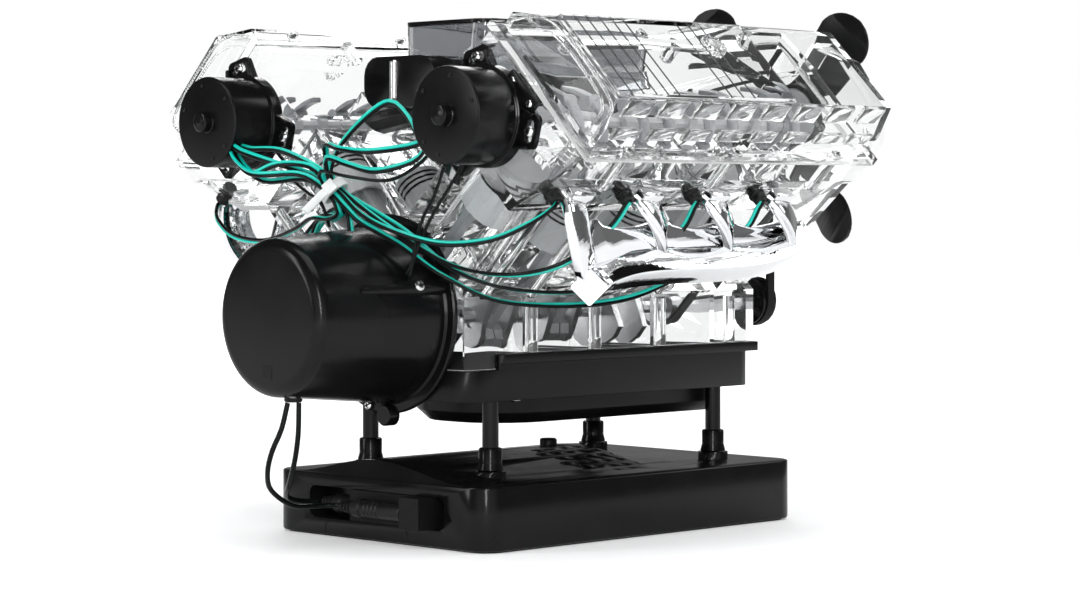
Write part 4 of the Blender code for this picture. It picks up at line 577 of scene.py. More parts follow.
@dataclass(frozen=True)
class ClearMoulding:
    """A clear moulded plastic, whose base colour darkens at grazing angles as painted edge shade."""

    name: str
    tint: tuple[float, float, float]
    roughness: float = 0.015
    smear: float = 0.05
    wave: float = 0.00006
    wave_scale: float = 45.0
    ior: float = 1.24
    coat: float = 0.30
    # The rim colour and the three edge fields after it paint shade at the edges: at grazing angles the base colour
    # turns towards this darker colour.
    rim: tuple[float, float, float] = (0.60, 0.63, 0.63)
    rim_share: float = 0.6
    rim_blend: float = 0.4
    rim_power: float = 4.0
    deepest: float = 9.5
    coat_roughness: float = 0.03

    def material(self) -> bpy.types.Material:
        """The finish as a material, made once."""
        found = bpy.data.materials.get(self.name)
        if found:
            return found
        material, graph, shader, place = fresh_material(self.name)
        flow = graph.group(mould_flow(), {
            "Place": place, "Roughness": self.roughness, "Smear": self.smear, "Wave Scale": self.wave_scale})
        bump = graph.add("ShaderNodeBump", {"Height": flow["Height"], "Distance": self.wave, "Strength": 1.0})
        # Painted edge shade: the base colour darkens where the surface turns away from the view.
        slant = graph.add("ShaderNodeLayerWeight", {"Blend": self.rim_blend}).outputs["Facing"]
        share = graph.times(graph.maths("POWER", slant, self.rim_power), self.rim_share)
        depth = graph.add("ShaderNodeLightPath").outputs["Transmission Depth"]
        graph.fill(shader, {
            "Base Color": graph.blend(share, (*self.tint, 1), (*self.rim, 1)), "Roughness": flow["Roughness"],
            "Normal": bump.outputs[0], "Coat Weight": self.coat, "Coat Roughness": self.coat_roughness,
            "Transmission Weight": 1.0, "IOR": self.ior,
            "Alpha": graph.maths("LESS_THAN", depth, self.deepest)})
        return material


Finish = Moulding | ClearMoulding

BLACK = Moulding("glossy_black_moulding", (0.0035, 0.0035, 0.0038), (0.0060, 0.0060, 0.0064), 0.20, 0.08,
                 0.000004, 900.0, dust=0.03, shine=0.17)
SATIN = Moulding("satin_black_moulding", (0.0040, 0.0040, 0.0042), (0.0070, 0.0070, 0.0072), 0.33, 0.08, 0.000006,
                 1200.0, dust=0.04, shine=0.17)
MATT = Moulding("matt_black_moulding", (0.0045, 0.0045, 0.0045), (0.0080, 0.0080, 0.0080), 0.55, 0.08,
                0.00001, 1500.0, shine=0.15)
SOFT = Moulding("soft_black_plastic", (0.0050, 0.0050, 0.0050), (0.0090, 0.0090, 0.0090), 0.40, 0.1, 0.00001, 1300.0,
                shine=0.22)
BELTING = Moulding("belt_rubber", (0.006, 0.006, 0.006), (0.012, 0.012, 0.011), 0.7, 0.1, 0.00002, 2200.0,
                   shine=0.2)
WIRE_BLACK = Moulding("black_wire_covering", (0.0025, 0.0032, 0.0032), (0.0045, 0.0055, 0.0055), 0.28, 0.1, 0.000005,
                      1800.0, shine=0.14)
WIRE_TEAL = Moulding("teal_wire_covering", (0.000, 0.600, 0.485), (0.000, 0.510, 0.410), 0.30, 0.1, 0.000005, 1800.0)
STRAP = Moulding("white_strap", (0.80, 0.82, 0.82), (0.72, 0.74, 0.74), 0.32, 0.1, 0.00001, 900.0)
PLATED = Moulding("chrome_plating", (0.90, 0.91, 0.92), (0.84, 0.85, 0.86), 0.050, 0.03, 0.00009, 70.0, 60.0,
                  metallic=1.0)
SCREW = Moulding("bright_screw_steel", (0.72, 0.72, 0.72), (0.60, 0.60, 0.60), 0.22, 0.12, 0.000006, 2500.0,
                 metallic=1.0)
STEEL = Moulding("motor_can_steel", (0.60, 0.60, 0.61), (0.50, 0.50, 0.51), 0.30, 0.14, 0.000006, 1600.0,
                 metallic=1.0)
GREY = Moulding("grey_moulding", (0.36, 0.37, 0.38), (0.30, 0.31, 0.32), 0.34, 0.1, 0.00001, 900.0)
PALE = Moulding("pale_grey_moulding", (0.56, 0.57, 0.58), (0.48, 0.49, 0.50), 0.30, 0.1, 0.00001, 900.0)
ROCKER = Moulding("rocker_grey_moulding", (0.26, 0.27, 0.28), (0.20, 0.21, 0.22), 0.30, 0.1, 0.00001, 900.0)
CLEAR = ClearMoulding("clear_moulding", (0.985, 0.990, 0.989), ior=1.08)
# Paler copy of the clear moulding, with less edge shade, for the far bank: painted light for the washed-out look of
# that bank under the lamps.
CLEAR_PAINTED_LIGHT = ClearMoulding("pale_clear_moulding", (0.990, 0.994, 0.993), wave=0.00002, ior=1.09, coat=0.15,
                           rim_share=0.45)
CLEAR_THICK = ClearMoulding("thick_clear_moulding", (0.975, 0.981, 0.980), wave=0.00002, ior=1.09)
CLEAR_CRISP = ClearMoulding("crisp_clear_moulding", (0.950, 0.956, 0.955), wave=0.00002, ior=1.47)
# Near-black clear for the near cover's fine lines: painted shade, dark lines where the clear plastic only bends the
# light.
CLEAR_LINE_PAINTED_SHADE = ClearMoulding("clear_moulded_rib", (0.10, 0.105, 0.105), 0.08, 0.05, 0.00003, 90.0)
SMOKE = ClearMoulding("smoke_moulding", (0.44, 0.45, 0.46), 0.03, 0.08, 0.00005, 40.0)


@dataclass(frozen=True)
class ScrewHead:
    """A domed screw head with a cross. All but the radius and the height are shares of these two."""

    radius: float
    height: float
    dome: tuple = ((0, 0), (1, 0), (1, 0.35), (0.86, 0.72), (0.6, 1), (0.34, 1), (0.2, 0.55), (0, 0.5))
    arm: float = 0.62
    slot: float = 0.13
    cross_low: float = 0.6
    cross_high: float = 1.03
    turn: float = 0.3


SMALL_SCREW = ScrewHead(0.0019, 0.0011)
PAN_SCREW = ScrewHead(0.0024, 0.0012)
BOSS_SCREW = ScrewHead(0.0024, 0.0014)
LOW_SCREW = ScrewHead(0.0023, 0.0016)
EAR_SCREW = ScrewHead(0.0027, 0.0016)


def corners_in(found: Iterable[object]) -> list[bmesh.types.BMVert]:
    """The corners among the parts that a bmesh operator gave back.

    Args:
        found: What the operator gave back.

    Returns:
        The corners.
    """
    return [part for part in found if isinstance(part, bmesh.types.BMVert)]


def raised(solid: bmesh.types.BMesh, rise: float) -> None:
    """Extrudes all of a flat solid's faces along Z.

    Args:
        solid: The solid.
        rise: How far.
    """
    grown = bmesh.ops.extrude_face_region(solid, geom=solid.faces[:])["geom"]
    bmesh.ops.translate(solid, vec=(0, 0, rise), verts=corners_in(grown))


def closed_loops(solid: bmesh.types.BMesh, outlines: Iterable[Sequence[Point]],
                 height: float) -> list[bmesh.types.BMEdge]:
    """Draws closed outlines at a height.

    Args:
        solid: Where they go.
        outlines: The outlines in XY.
        height: Their height.

    Returns:
        The edges of all of them.
    """
    loops = [[solid.verts.new((a, b, height)) for a, b in outline] for outline in outlines]
    return [solid.edges.new((loop[i - 1], loop[i])) for loop in loops for i in range(len(loop))]


class Shape:
    """Closed solids gathered into one mesh, each in its own place and finish."""

    def __init__(self) -> None:
        """Starts with nothing in it."""
        self.bm = bmesh.new()
        self.paint = 0

    def gather(self, solid: bmesh.types.BMesh, place: Matrix) -> Shape:
        """Takes in a solid, which is welded and turned to face out.

        Args:
            solid: The solid, which is used up.
            place: Where it goes.

        Returns:
            This shape.
        """
        bmesh.ops.remove_doubles(solid, verts=solid.verts, dist=WELD)
        bmesh.ops.transform(solid, matrix=place, verts=solid.verts)
        bmesh.ops.recalc_face_normals(solid, faces=solid.faces)
        for face in solid.faces:
            face.material_index = self.paint
        mesh = bpy.data.meshes.new("solid")
        solid.to_mesh(mesh)
        solid.free()
        self.bm.from_mesh(mesh)
        bpy.data.meshes.remove(mesh)
        return self

    def block(self, low: Point, high: Point, place: Matrix = HERE, soften: float = 0.0, steps: int = 2) -> Shape:
        """Adds a block between two corners.

        Args:
            low: One corner.
            high: The other corner.
            place: Where it goes.
            soften: Radius of its edges.
            steps: Steps of an edge.

        Returns:
            This shape.
        """
        solid = bmesh.new()
        bmesh.ops.create_cube(solid, size=1.0)
        low, high = Vector(low), Vector(high)
        bmesh.ops.scale(solid, vec=high - low, verts=solid.verts)
        bmesh.ops.translate(solid, vec=(low + high) / 2, verts=solid.verts)
        return self.softened(solid, place, soften, steps)

    def softened(self, solid: bmesh.types.BMesh, place: Matrix, soften: float, steps: int = 2) -> Shape:
        """Takes in a solid with its sharp edges rounded.

        Args:
            solid: The solid, which is used up.
            place: Where it goes.
            soften: Radius of its edges.
            steps: Steps of an edge.

        Returns:
            This shape.
        """
        if soften:
            bmesh.ops.recalc_face_normals(solid, faces=solid.faces)
            sharp = [e for e in solid.edges if len(e.link_faces) == 2 and e.calc_face_angle(0) > SHARP]
            bmesh.ops.bevel(solid, geom=sharp, offset=soften, offset_type="OFFSET", affect="EDGES", segments=steps,
                            profile=0.5, material=-1, clamp_overlap=True)
        return self.gather(solid, place)

    def turned(self, profile: Iterable[Point], place: Matrix = HERE, steps: int = 24) -> Shape:
        """Adds a profile turned round its own Z axis.

        Args:
            profile: Pairs of radius and height, open at the axis or closed.
            place: Where it goes.
            steps: Steps round the axis.

        Returns:
            This shape.
        """
        solid = bmesh.new()
        points = list(profile)
        verts = [solid.verts.new((r, 0, h)) for r, h in points]
        pairs = list(zip(verts, verts[1:]))
        if points[0][0] > WELD or points[-1][0] > WELD:
            pairs.append((verts[-1], verts[0]))
        edges = [solid.edges.new(pair) for pair in pairs]
        bmesh.ops.spin(solid, geom=verts + edges, cent=(0, 0, 0), axis=(0, 0, 1), dvec=(0, 0, 0), angle=FULL_TURN,
                       steps=steps, use_merge=True, use_duplicate=False)
        return self.gather(solid, place)

    def prism(self, outline: Iterable[Point], low: float, high: float, place: Matrix = HERE,
              soften: float = 0.0) -> Shape:
        """Adds an outline in XY, extruded along Z.

        Args:
            outline: The outline's points.
            low: Lowest height.
            high: Highest height.
            place: Where it goes.
            soften: Radius of its edges.

        Returns:
            This shape.
        """
        solid = bmesh.new()
        solid.faces.new([solid.verts.new((a, b, low)) for a, b in outline])
        raised(solid, high - low)
        return self.softened(solid, place, soften)

    def sweep(self, section: Iterable[Point], frames: Sequence[Matrix], place: Matrix = HERE) -> Shape:
        """Adds a section carried through frames, with closed ends.

        Args:
            section: The section's points in XY.
            frames: Where the section is, one after the other.
            place: Where the whole goes.

        Returns:
            This shape.
        """
        solid = bmesh.new()
        face = solid.faces.new([solid.verts.new(frames[0] @ Vector((a, b, 0))) for a, b in section])
        before = frames[0]
        for frame in frames[1:]:
            grown = bmesh.ops.extrude_face_region(solid, geom=[face])["geom"]
            face = next(g for g in grown if isinstance(g, bmesh.types.BMFace))
            bmesh.ops.transform(solid, matrix=frame @ before.inverted(), verts=corners_in(grown))
            before = frame
        return self.gather(solid, place)

    def screw(self, place: Matrix, head: ScrewHead) -> Shape:
        """Adds a screw's head, with its cross in the next finish.

        Args:
            place: The seat of the head, with Z away from it.
            head: The head.

        Returns:
            This shape.
        """
        radius, height = head.radius, head.height
        self.turned([(radius * a, height * b) for a, b in head.dome], place, 16)
        kept, self.paint = self.paint, self.paint + 1
        arm, slot = radius * head.arm, radius * head.slot
        for turn in (head.turn, head.turn + math.pi / 2):
            self.block((-arm, -slot, height * head.cross_low), (arm, slot, height * head.cross_high),
                       place @ Matrix.Rotation(turn, 4, "Z"))
        self.paint = kept
        return self

    def piece(self, name: str, finishes: Sequence[Finish], slot: Slot, replaces: Sequence[str] = (),
              body: str = ROOT, crisp: float = 32.0) -> bpy.types.Object:
        """Makes the shape a finished piece that rides on a body.

        Args:
            name: The piece's name.
            finishes: Its finishes, by material index.
            slot: The record's material slot. Not used.
            replaces: Nodes that it stands for.
            body: The body that it rides on.
            crisp: Angle in degrees past which an edge stays crisp.

        Returns:
            The piece.
        """
        mesh = bpy.data.meshes.new(name)
        self.bm.to_mesh(mesh)
        self.bm.free()
        return finished(name, mesh, finishes, body, replaces, crisp=crisp)


def finished(name: str, mesh: bpy.types.Mesh, finishes: Sequence[Finish], body: str,
             replaces: Sequence[str], soften: float = 0.0, crisp: float = 32.0) -> bpy.types.Object:
    """Makes a mesh a finished piece that rides on a body.

    Args:
        name: The piece's name.
        mesh: Its mesh.
        finishes: Its finishes, by material index.
        body: The body that it rides on.
        replaces: Nodes that it stands for.
        soften: Radius of a live rounding of its edges.
        crisp: Angle in degrees past which an edge stays crisp.

    Returns:
        The piece.
    """
    obj = bpy.data.objects.new(name, mesh)
    bpy.context.scene.collection.objects.link(obj)
    mesh.shade_smooth()
    if soften:
        bevel = obj.modifiers.new("rounding", "BEVEL")
        bevel.width, bevel.segments, bevel.limit_method = soften, 2, "ANGLE"
        bevel.angle_limit = math.radians(crisp)
        bevel.harden_normals = True
    else:
        mesh.set_sharp_from_angle(angle=math.radians(crisp))
    for finish in finishes:
        mesh.materials.append(finish.material())
    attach(obj, body)
    if replaces:
        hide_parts(*replaces)
    log.info("piece %s on %s", name, body)
    return obj


def refined(frame: dict, node: str, name: str, finish: Finish, soften: float,
            body: str = ROOT) -> bpy.types.Object:
    """A node's own solid with merged points, plain faces and rounded edges.

    Args:
        node: The node.
        name: The new piece's name.
        finish: Its finish.
        soften: Radius of its edges.
        body: The body that it rides on.

    Returns:
        The piece, which stands for the node.
    """
    bm = bmesh.new()
    bm.from_mesh(frame["nodes"][node].data)
    bmesh.ops.remove_doubles(bm, verts=bm.verts, dist=WELD)
    bmesh.ops.dissolve_limit(bm, angle_limit=FLAT, verts=bm.verts, edges=bm.edges)
    mesh = bpy.data.meshes.new(name)
    bm.to_mesh(mesh)
    bm.free()
    mesh.materials.clear()
    return finished(name, mesh, (finish,), body, (node,), soften)


def dress(frame: dict, node: str, finish: Finish) -> None:
    """Gives a node's own object a finish.

    Args:
        node: The node.
        finish: Its finish.
    """
    for slot in frame["nodes"][node].material_slots:
        slot.material = finish.material()
    log.info("dressed %s", node)


def curve_cord(name: str, points: Sequence[Vector], diameter: float, finish: Finish) -> bpy.types.Object:
    """A cord's free stretch as a curve of one open spline.

    Args:
        name: The piece's name.
        points: Its middle line.
        diameter: Its diameter.
        finish: Its finish.

    Returns:
        The piece.
    """
    curve = bpy.data.curves.new(name, "CURVE")
    curve.dimensions = "3D"
    curve.bevel_depth, curve.bevel_resolution, curve.use_fill_caps = diameter / 2, 3, True
    spline = curve.splines.new("POLY")
    spline.points.add(len(points) - 1)
    for point, place in zip(spline.points, points):
        point.co = (*place, 1.0)
    spline.use_smooth = True
    curve.materials.append(finish.material())
    obj = bpy.data.objects.new(name, curve)
    bpy.context.scene.collection.objects.link(obj)
    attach(obj, ROOT)
    log.info("cord %s, %.0f mm", name, length_of(points) * 1000)
    return obj


@dataclass
class PhotoCamera:
    """The camera that the photograph was solved for."""

    place: tuple[float, float, float] = (-1.0088, -1.0062, 0.1568)
    lens: float = 98.2
    tilt: float = 88.138
    heading: float = -45.08
    sensor: float = 36.0
    clip: tuple[float, float] = (0.05, 60.0)

    def build(self) -> None:
        """Makes the camera and hands it to the scene."""
        data = bpy.data.cameras.new("photo_camera")
        data.lens, data.sensor_width = self.lens, self.sensor
        data.clip_start, data.clip_end = self.clip
        camera = bpy.data.objects.new("photo_camera", data)
        camera.location = self.place
        camera.rotation_euler = (math.radians(self.tilt), 0.0, math.radians(self.heading))
        bpy.context.scene.collection.objects.link(camera)
        bpy.context.scene.camera = camera


@dataclass(frozen=True)
class SoftLamp:
    """A lamp behind a rectangle of cloth."""

    name: str
    place: Point
    width: float
    height: float
    power: float
    aim: Point = (0.0, 0.0, 0.1)

    def build(self) -> None:
        """Makes the lamp, turned to its aim."""
        data = bpy.data.lights.new(self.name, "AREA")
        data.shape, data.size, data.size_y, data.energy = "RECTANGLE", self.width, self.height, self.power
        lamp = bpy.data.objects.new(self.name, data)
        lamp.location = self.place
        lamp.rotation_euler = (Vector(self.aim) - Vector(self.place)).to_track_quat("-Z", "Y").to_euler()
        bpy.context.scene.collection.objects.link(lamp)


@dataclass
class Studio:
    """A pale floor, a white room and soft lamps."""

    floor_half: float = 6.0
    room_light: float = 0.60
    floor_glow: float = 0.22
    glow_from: float = 0.40
    glow_to: float = 1.50
    ceiling_from: float = 0.22
    ceiling_to: float = 0.55
    ceiling_dark: float = 0.04
    ceiling_through: float = 0.30
    ceiling_through_to: float = 0.9
    curtain: float = 0.26
    paper: tuple = ((0.86, 0.865, 0.875, 1), (0.90, 0.902, 0.91, 1))
    paper_scale: float = 240.0
    paper_roughness: float = 0.7
    paper_shine: float = 0.2
    lamps: tuple[SoftLamp, ...] = (
        SoftLamp("top_lamp", (-0.2, -0.4, 2.1), 1.5, 1.5, 17.0),
        SoftLamp("right_lamp", (1.5, -1.0, 1.25), 0.40, 1.3, 6.5),
        SoftLamp("front_lamp", (-1.45, -1.45, 0.72), 0.12, 1.1, 16.0),
        SoftLamp("left_lamp", (-1.7, 0.9, 0.85), 0.35, 1.2, 11.0),
        SoftLamp("back_lamp", (1.2, 1.3, 1.2), 0.7, 0.7, 7.0, (0.0, 0.0, 0.12)),
    )

    def build(self) -> None:
        """Makes the floor, the room and the lamps."""
        bpy.context.scene.view_settings.view_transform = "Standard"
        self.floor()
        self.room()
        for lamp in self.lamps:
            lamp.build()

    def floor(self) -> None:
        """The floor: lit paper near the model, with its shadow, and plain white further off."""
        bm = bmesh.new()
        bmesh.ops.create_grid(bm, x_segments=2, y_segments=2, size=self.floor_half)
        mesh = bpy.data.meshes.new("floor")
        bm.to_mesh(mesh)
        bm.free()
        floor = bpy.data.objects.new("floor", mesh)
        bpy.context.scene.collection.objects.link(floor)
        material, graph, shader, place = fresh_material("studio_paper")
        far = graph.add("ShaderNodeVectorMath", {0: place}, operation="LENGTH").outputs["Value"]
        glow = graph.ramp(far, self.glow_from, self.glow_to, self.floor_glow, 1.0, "SMOOTHSTEP")
        rays = graph.add("ShaderNodeLightPath").outputs
        sides = graph.group(dark_sides(), {"Direction": place, "Darkest": self.curtain})["Level"]
        mirrored = graph.times(rays["Is Glossy Ray"], sides)
        through = graph.maths("MAXIMUM", mirrored, rays["Is Transmission Ray"])
        lit = graph.times(graph.maths("MAXIMUM", rays["Is Camera Ray"], through), glow)
        graph.fill(shader, {
            "Base Color": graph.blend(graph.noise(place, self.paper_scale, 4.0), *self.paper),
            "Roughness": self.paper_roughness, "Specular IOR Level": self.paper_shine, "Emission Strength": 1.0,
            "Emission Color": graph.blend(lit, (0, 0, 0, 1), (1, 1, 1, 1))})
        mesh.materials.append(material)

    def room(self) -> None:
        """The world: plain white to the eye and through clear pieces, with a dark ceiling in reflections."""
        world = bpy.data.worlds.new("white_room")
        bpy.context.scene.world = world
        world.use_nodes = True
        graph = Graph(world.node_tree)
        sky = world.node_tree.nodes["Background"]
        rays = graph.add("ShaderNodeLightPath").outputs
        direction = graph.add("ShaderNodeTexCoord").outputs["Generated"]
        height = graph.add("ShaderNodeSeparateXYZ", {0: direction}).outputs[2]
        mirrored = graph.ramp(height, self.ceiling_from, self.ceiling_to, 1.0, self.ceiling_dark)
        through = graph.ramp(height, self.ceiling_from, self.ceiling_through_to, 1.0, self.ceiling_through)
        sides = graph.group(dark_sides(), {"Direction": direction, "Darkest": self.curtain})["Level"]
        mirrored = graph.times(mirrored, sides)
        level = graph.pick(rays["Is Glossy Ray"], self.room_light, mirrored)
        level = graph.pick(rays["Is Transmission Ray"], level, through)
        level = graph.pick(rays["Is Camera Ray"], level, 1.0)
        graph.fill(sky, {"Strength": level, "Color": (1, 1, 1, 1)})


@dataclass(frozen=True)
class Plug:
    """A moulded plug along Y. Its body is `body` long from `face`, where it meets the socket."""

    word: str
    x: float
    face: float
    body: float
    grooves: int


@dataclass
class MotorLeads:
    """The two thin leads from the motor cover to the stand, and the moulded plug on each."""

    diameter: float = 0.0024
    inner: tuple = (
        (-0.1480, 0.0055, 0.0659), (-0.1480, 0.0060, 0.0520), (-0.1470, 0.0095, 0.0400),
        (-0.1420, 0.0190, 0.0290), (-0.1330, 0.0320, 0.0215), (-0.1220, 0.0410, 0.0180),
        (-0.1130, 0.0435, 0.0163), (-0.1065, 0.0425, 0.0158), (-0.1035, 0.0400, 0.0158),
        (-0.1035, 0.0398, 0.0158),
    )
    outer: tuple = (
        (-0.1520, 0.0085, 0.0659), (-0.1545, 0.0100, 0.0540), (-0.1575, 0.0130, 0.0440),
        (-0.1560, 0.0180, 0.0340), (-0.1480, 0.0250, 0.0250), (-0.1340, 0.0270, 0.0170),
        (-0.1210, 0.0260, 0.0158), (-0.1140, 0.0225, 0.0158), (-0.1125, 0.0168, 0.0158),
    )
    plug_height: float = 0.0158
    plug_radius: float = 0.0040
    plug_edge: float = 0.0004
    groove_first: float = 0.55
    groove_step: float = 0.1
    collar_radius: float = 0.0045
    collar_length: float = 0.005
    relief_length: float = 0.010
    relief_radius: float = 0.0030
    relief_tip: float = 0.0018
    relief_ribs: int = 4
    rib_height: float = 0.00056
    rib_flat: float = 0.6
    plugs: tuple[Plug, ...] = (Plug("inner", -0.1035, 0.0170, 0.0075, 0), Plug("outer", -0.1125, -0.0255, 0.027, 4))

    def build(self) -> None:
        """Makes the plugs and the leads."""
        made = {plug.word: self.plug(plug) for plug in self.plugs}
        for word, route in (("inner", self.inner), ("outer", self.outer)):
            points = smooth_route(route, self.diameter * CORD_STEP)
            lead = curve_cord(f"lead_{word}", points, self.diameter, WIRE_BLACK)
            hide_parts(f"motor_lead_{word}")

    def plug(self, plug: Plug) -> bpy.types.Object:
        """A moulded plug with its collar and its ribbed relief.

        Args:
            plug: Which plug.

        Returns:
            The piece.
        """
        radius, edge, face, collar_radius = self.plug_radius, self.plug_edge, plug.face, self.collar_radius
        collar = face + plug.body
        relief = collar + self.collar_length
        end = relief + self.relief_length
        profile = [(0, face), (radius - edge, face), (radius, face + edge)]
        for i in range(plug.grooves):
            groove = face + plug.body * (self.groove_first + self.groove_step * i)
            profile += [(radius, groove), (radius - edge, groove + edge), (radius, groove + edge * 2)]
        profile += [(radius, collar), (collar_radius, collar + edge), (collar_radius, relief - edge),
                    (collar_radius - edge, relief), (self.relief_radius, relief)]
        pitch = self.relief_length / self.relief_ribs / 4
        for i in range(self.relief_ribs):
            share = (i + 0.5) / self.relief_ribs
            middle = relief + self.relief_length * share
            low = self.relief_radius + (self.relief_tip - self.relief_radius) * share
            high, flat = low + self.rib_height, pitch * self.rib_flat
            profile += [(low, middle - pitch), (high, middle - flat), (high, middle + flat), (low, middle + pitch)]
        profile += [(self.relief_tip, end), (0, end)]
        shape = Shape().turned(profile, facing((plug.x, 0, self.plug_height), (0, 1, 0)), 24)
        return shape.piece(f"moulded_plug_{plug.word}", (SOFT,), Slot.BLACK_RUBBER, (f"plug_{plug.word}",))


@dataclass
class SparkWiring:
    """The twin leads from both distributors through the strap to the boots, the motor's feed and thin strays."""

    width: float = 0.0030
    wire: float = 0.0016
    near_starts: tuple = (
        ((-0.1367, -0.0682, 0.1809), (-0.1385, -0.0600, 0.1740), (-0.1420, -0.0400, 0.1700),
         (-0.1405, -0.0200, 0.1730), (-0.1395, -0.0040, 0.1760)),
        ((-0.1334, -0.0664, 0.1831), (-0.1320, -0.0580, 0.1830), (-0.1305, -0.0480, 0.1940),
         (-0.1305, -0.0360, 0.2005), (-0.1320, -0.0200, 0.1930), (-0.1335, -0.0050, 0.1800)),
        ((-0.1367, -0.0664, 0.1831), (-0.1390, -0.0580, 0.1805), (-0.1450, -0.0380, 0.1785),
         (-0.1440, -0.0180, 0.1800), (-0.1375, -0.0015, 0.1820), (-0.1325, 0.0035, 0.1750)),
        ((-0.1334, -0.0682, 0.1809), (-0.1330, -0.0610, 0.1745), (-0.1350, -0.0420, 0.1660),
         (-0.1385, -0.0180, 0.1675), (-0.1420, -0.0040, 0.1700)),
    )
    near_turns: tuple = (
        ((-0.1295, -0.0170, 0.1505),),
        ((-0.1250, -0.0185, 0.1505),),
        ((-0.1210, -0.0175, 0.1510),),
        ((-0.1315, -0.0120, 0.1510), (-0.1280, -0.0150, 0.1470)),
    )
    far_starts: tuple = (
        ((-0.1367, 0.0682, 0.1809), (-0.1390, 0.0600, 0.1745), (-0.1450, 0.0400, 0.1690), (-0.1400, 0.0150, 0.1690)),
        ((-0.1367, 0.0664, 0.1831), (-0.1385, 0.0580, 0.1800), (-0.1400, 0.0380, 0.1755), (-0.1330, 0.0150, 0.1690)),
        ((-0.1334, 0.0664, 0.1831), (-0.1330, 0.0580, 0.1810), (-0.1310, 0.0380, 0.1800), (-0.1290, 0.0150, 0.1720)),
        ((-0.1334, 0.0682, 0.1809), (-0.1335, 0.0620, 0.1735), (-0.1370, 0.0420, 0.1660), (-0.1365, 0.0160, 0.1670)),
    )
    far_turns: tuple = (
        ((-0.1338, -0.0060, 0.1512), (-0.1315, 0.0050, 0.1486), (-0.1290, 0.0190, 0.1488)),
        ((-0.1276, -0.0033, 0.1518), (-0.1246, 0.0055, 0.1496), (-0.1210, 0.0190, 0.1500)),
        ((-0.1248, -0.0040, 0.1540), (-0.1206, 0.0050, 0.1524), (-0.1165, 0.0190, 0.1520)),
        ((-0.1310, -0.0038, 0.1508), (-0.1283, 0.0050, 0.1482), (-0.1250, 0.0180, 0.1476)),
    )
    lead_ends: tuple = (
        ((-0.1260, 0.0340, 0.1435), (-0.1220, 0.0600, 0.1380), (-0.1180, 0.0880, 0.1400),
         (-0.1120, 0.1080, 0.1480), (-0.1060, 0.1150, 0.1545)),
        ((-0.1195, 0.0330, 0.1410), (-0.1100, 0.0560, 0.1280), (-0.0960, 0.0780, 0.1240),
         (-0.0780, 0.0930, 0.1290), (-0.0650, 0.1080, 0.1440)),
        ((-0.1155, 0.0310, 0.1425), (-0.1060, 0.0520, 0.1260), (-0.0860, 0.0720, 0.1170),
         (-0.0480, 0.0860, 0.1180), (-0.0200, 0.1060, 0.1400)),
        ((-0.1195, 0.0300, 0.1376), (-0.1090, 0.0490, 0.1230), (-0.0860, 0.0690, 0.1110),
         (-0.0250, 0.0850, 0.1130), (0.0230, 0.1050, 0.1390)),
    )
    feed_start: tuple = ((-0.1450, 0.0400, 0.1690), (-0.1420, 0.0270, 0.1735), (-0.1375, 0.0100, 0.1725))
    feed_end: tuple = ((-0.1305, -0.0083, 0.1525), (-0.1305, -0.0102, 0.1431))
    near_places: tuple[int, ...] = (3, 2, 1, 4)
    far_places: tuple[int, ...] = (5, 7, 0, 6)
    tie_centre: tuple[float, float, float] = (-0.1330, -0.0015, 0.1615)
    tie_direction: tuple[float, float, float] = (0.30, -0.62, -0.72)
    tie_length: float = 0.010
    tie_outer: float = 0.0068
    tie_core: float = 0.0056
    strap_width: float = 0.0046
    strap_edge: float = 0.0003
    head_toward: Point = (-0.75, -0.65, 0.10)
    head_sunk: float = 0.0004
    head_low: Point = (0.0, -0.0028, -0.0028)
    head_high: Point = (0.0036, 0.0028, 0.0028)
    head_edge: float = 0.0005
    tail: tuple = (
        (0.0018, 0.0020, 0.0), (0.0022, 0.0055, 0.0002), (0.0034, 0.0090, 0.0008), (0.0056, 0.0125, 0.0016),
        (0.0084, 0.0155, 0.0026),
    )
    tail_half: Point = (0.00045, 0.00184)
    tail_step: float = 0.0012
    bundle_radius: float = 0.0033
    bundle_places: int = 8
    twist: float = 1.9
    twist_swing: float = 0.9
    twist_pace: float = 28.0
    twist_up: Point = (0.3, 0.1, 1.0)
    boot_first: float = -0.104
    boot_spacing: float = 0.045
    boot_up: float = 0.1175
    boot_base: float = 0.034
    boot_top: float = 0.0445
    boot_profile: tuple = (
        (0, 0), (0.00306, 0), (0.0034, 0.0006), (0.0034, 0.004725), (0.003944, 0.00525), (0.003944, 0.00651),
        (0.0034, 0.007035), (0.0034, 0.0097), (0.002652, 0.0105), (0.0017, 0.0105), (0.001428, 0.0099),
        (0, 0.0099),
    )
    stray_width: float = 0.0016
    stray_step: float = 0.0032
    strays: tuple = (
        ((-0.1185, -0.0585, 0.1715), (-0.1190, -0.0535, 0.1600), (-0.1195, -0.0465, 0.1500),
         (-0.1200, -0.0425, 0.1400), (-0.1205, -0.0400, 0.1300), (-0.1210, -0.0365, 0.1243)),
        ((-0.1180, -0.0700, 0.1722), (-0.1185, -0.0560, 0.1560), (-0.1190, -0.0470, 0.1440),
         (-0.1195, -0.0415, 0.1340), (-0.1200, -0.0375, 0.1235)),
        ((-0.1160, 0.0590, 0.1800), (-0.1180, 0.0500, 0.1740), (-0.1210, 0.0400, 0.1660),
         (-0.1250, 0.0250, 0.1600), (-0.1290, 0.0120, 0.1560), (-0.1300, 0.0050, 0.1450)),
    )

    def tie_frame(self) -> Matrix:
        """From the strap's own axes, with Z along the bundle, to the model's."""
        return facing(self.tie_centre, self.tie_direction)

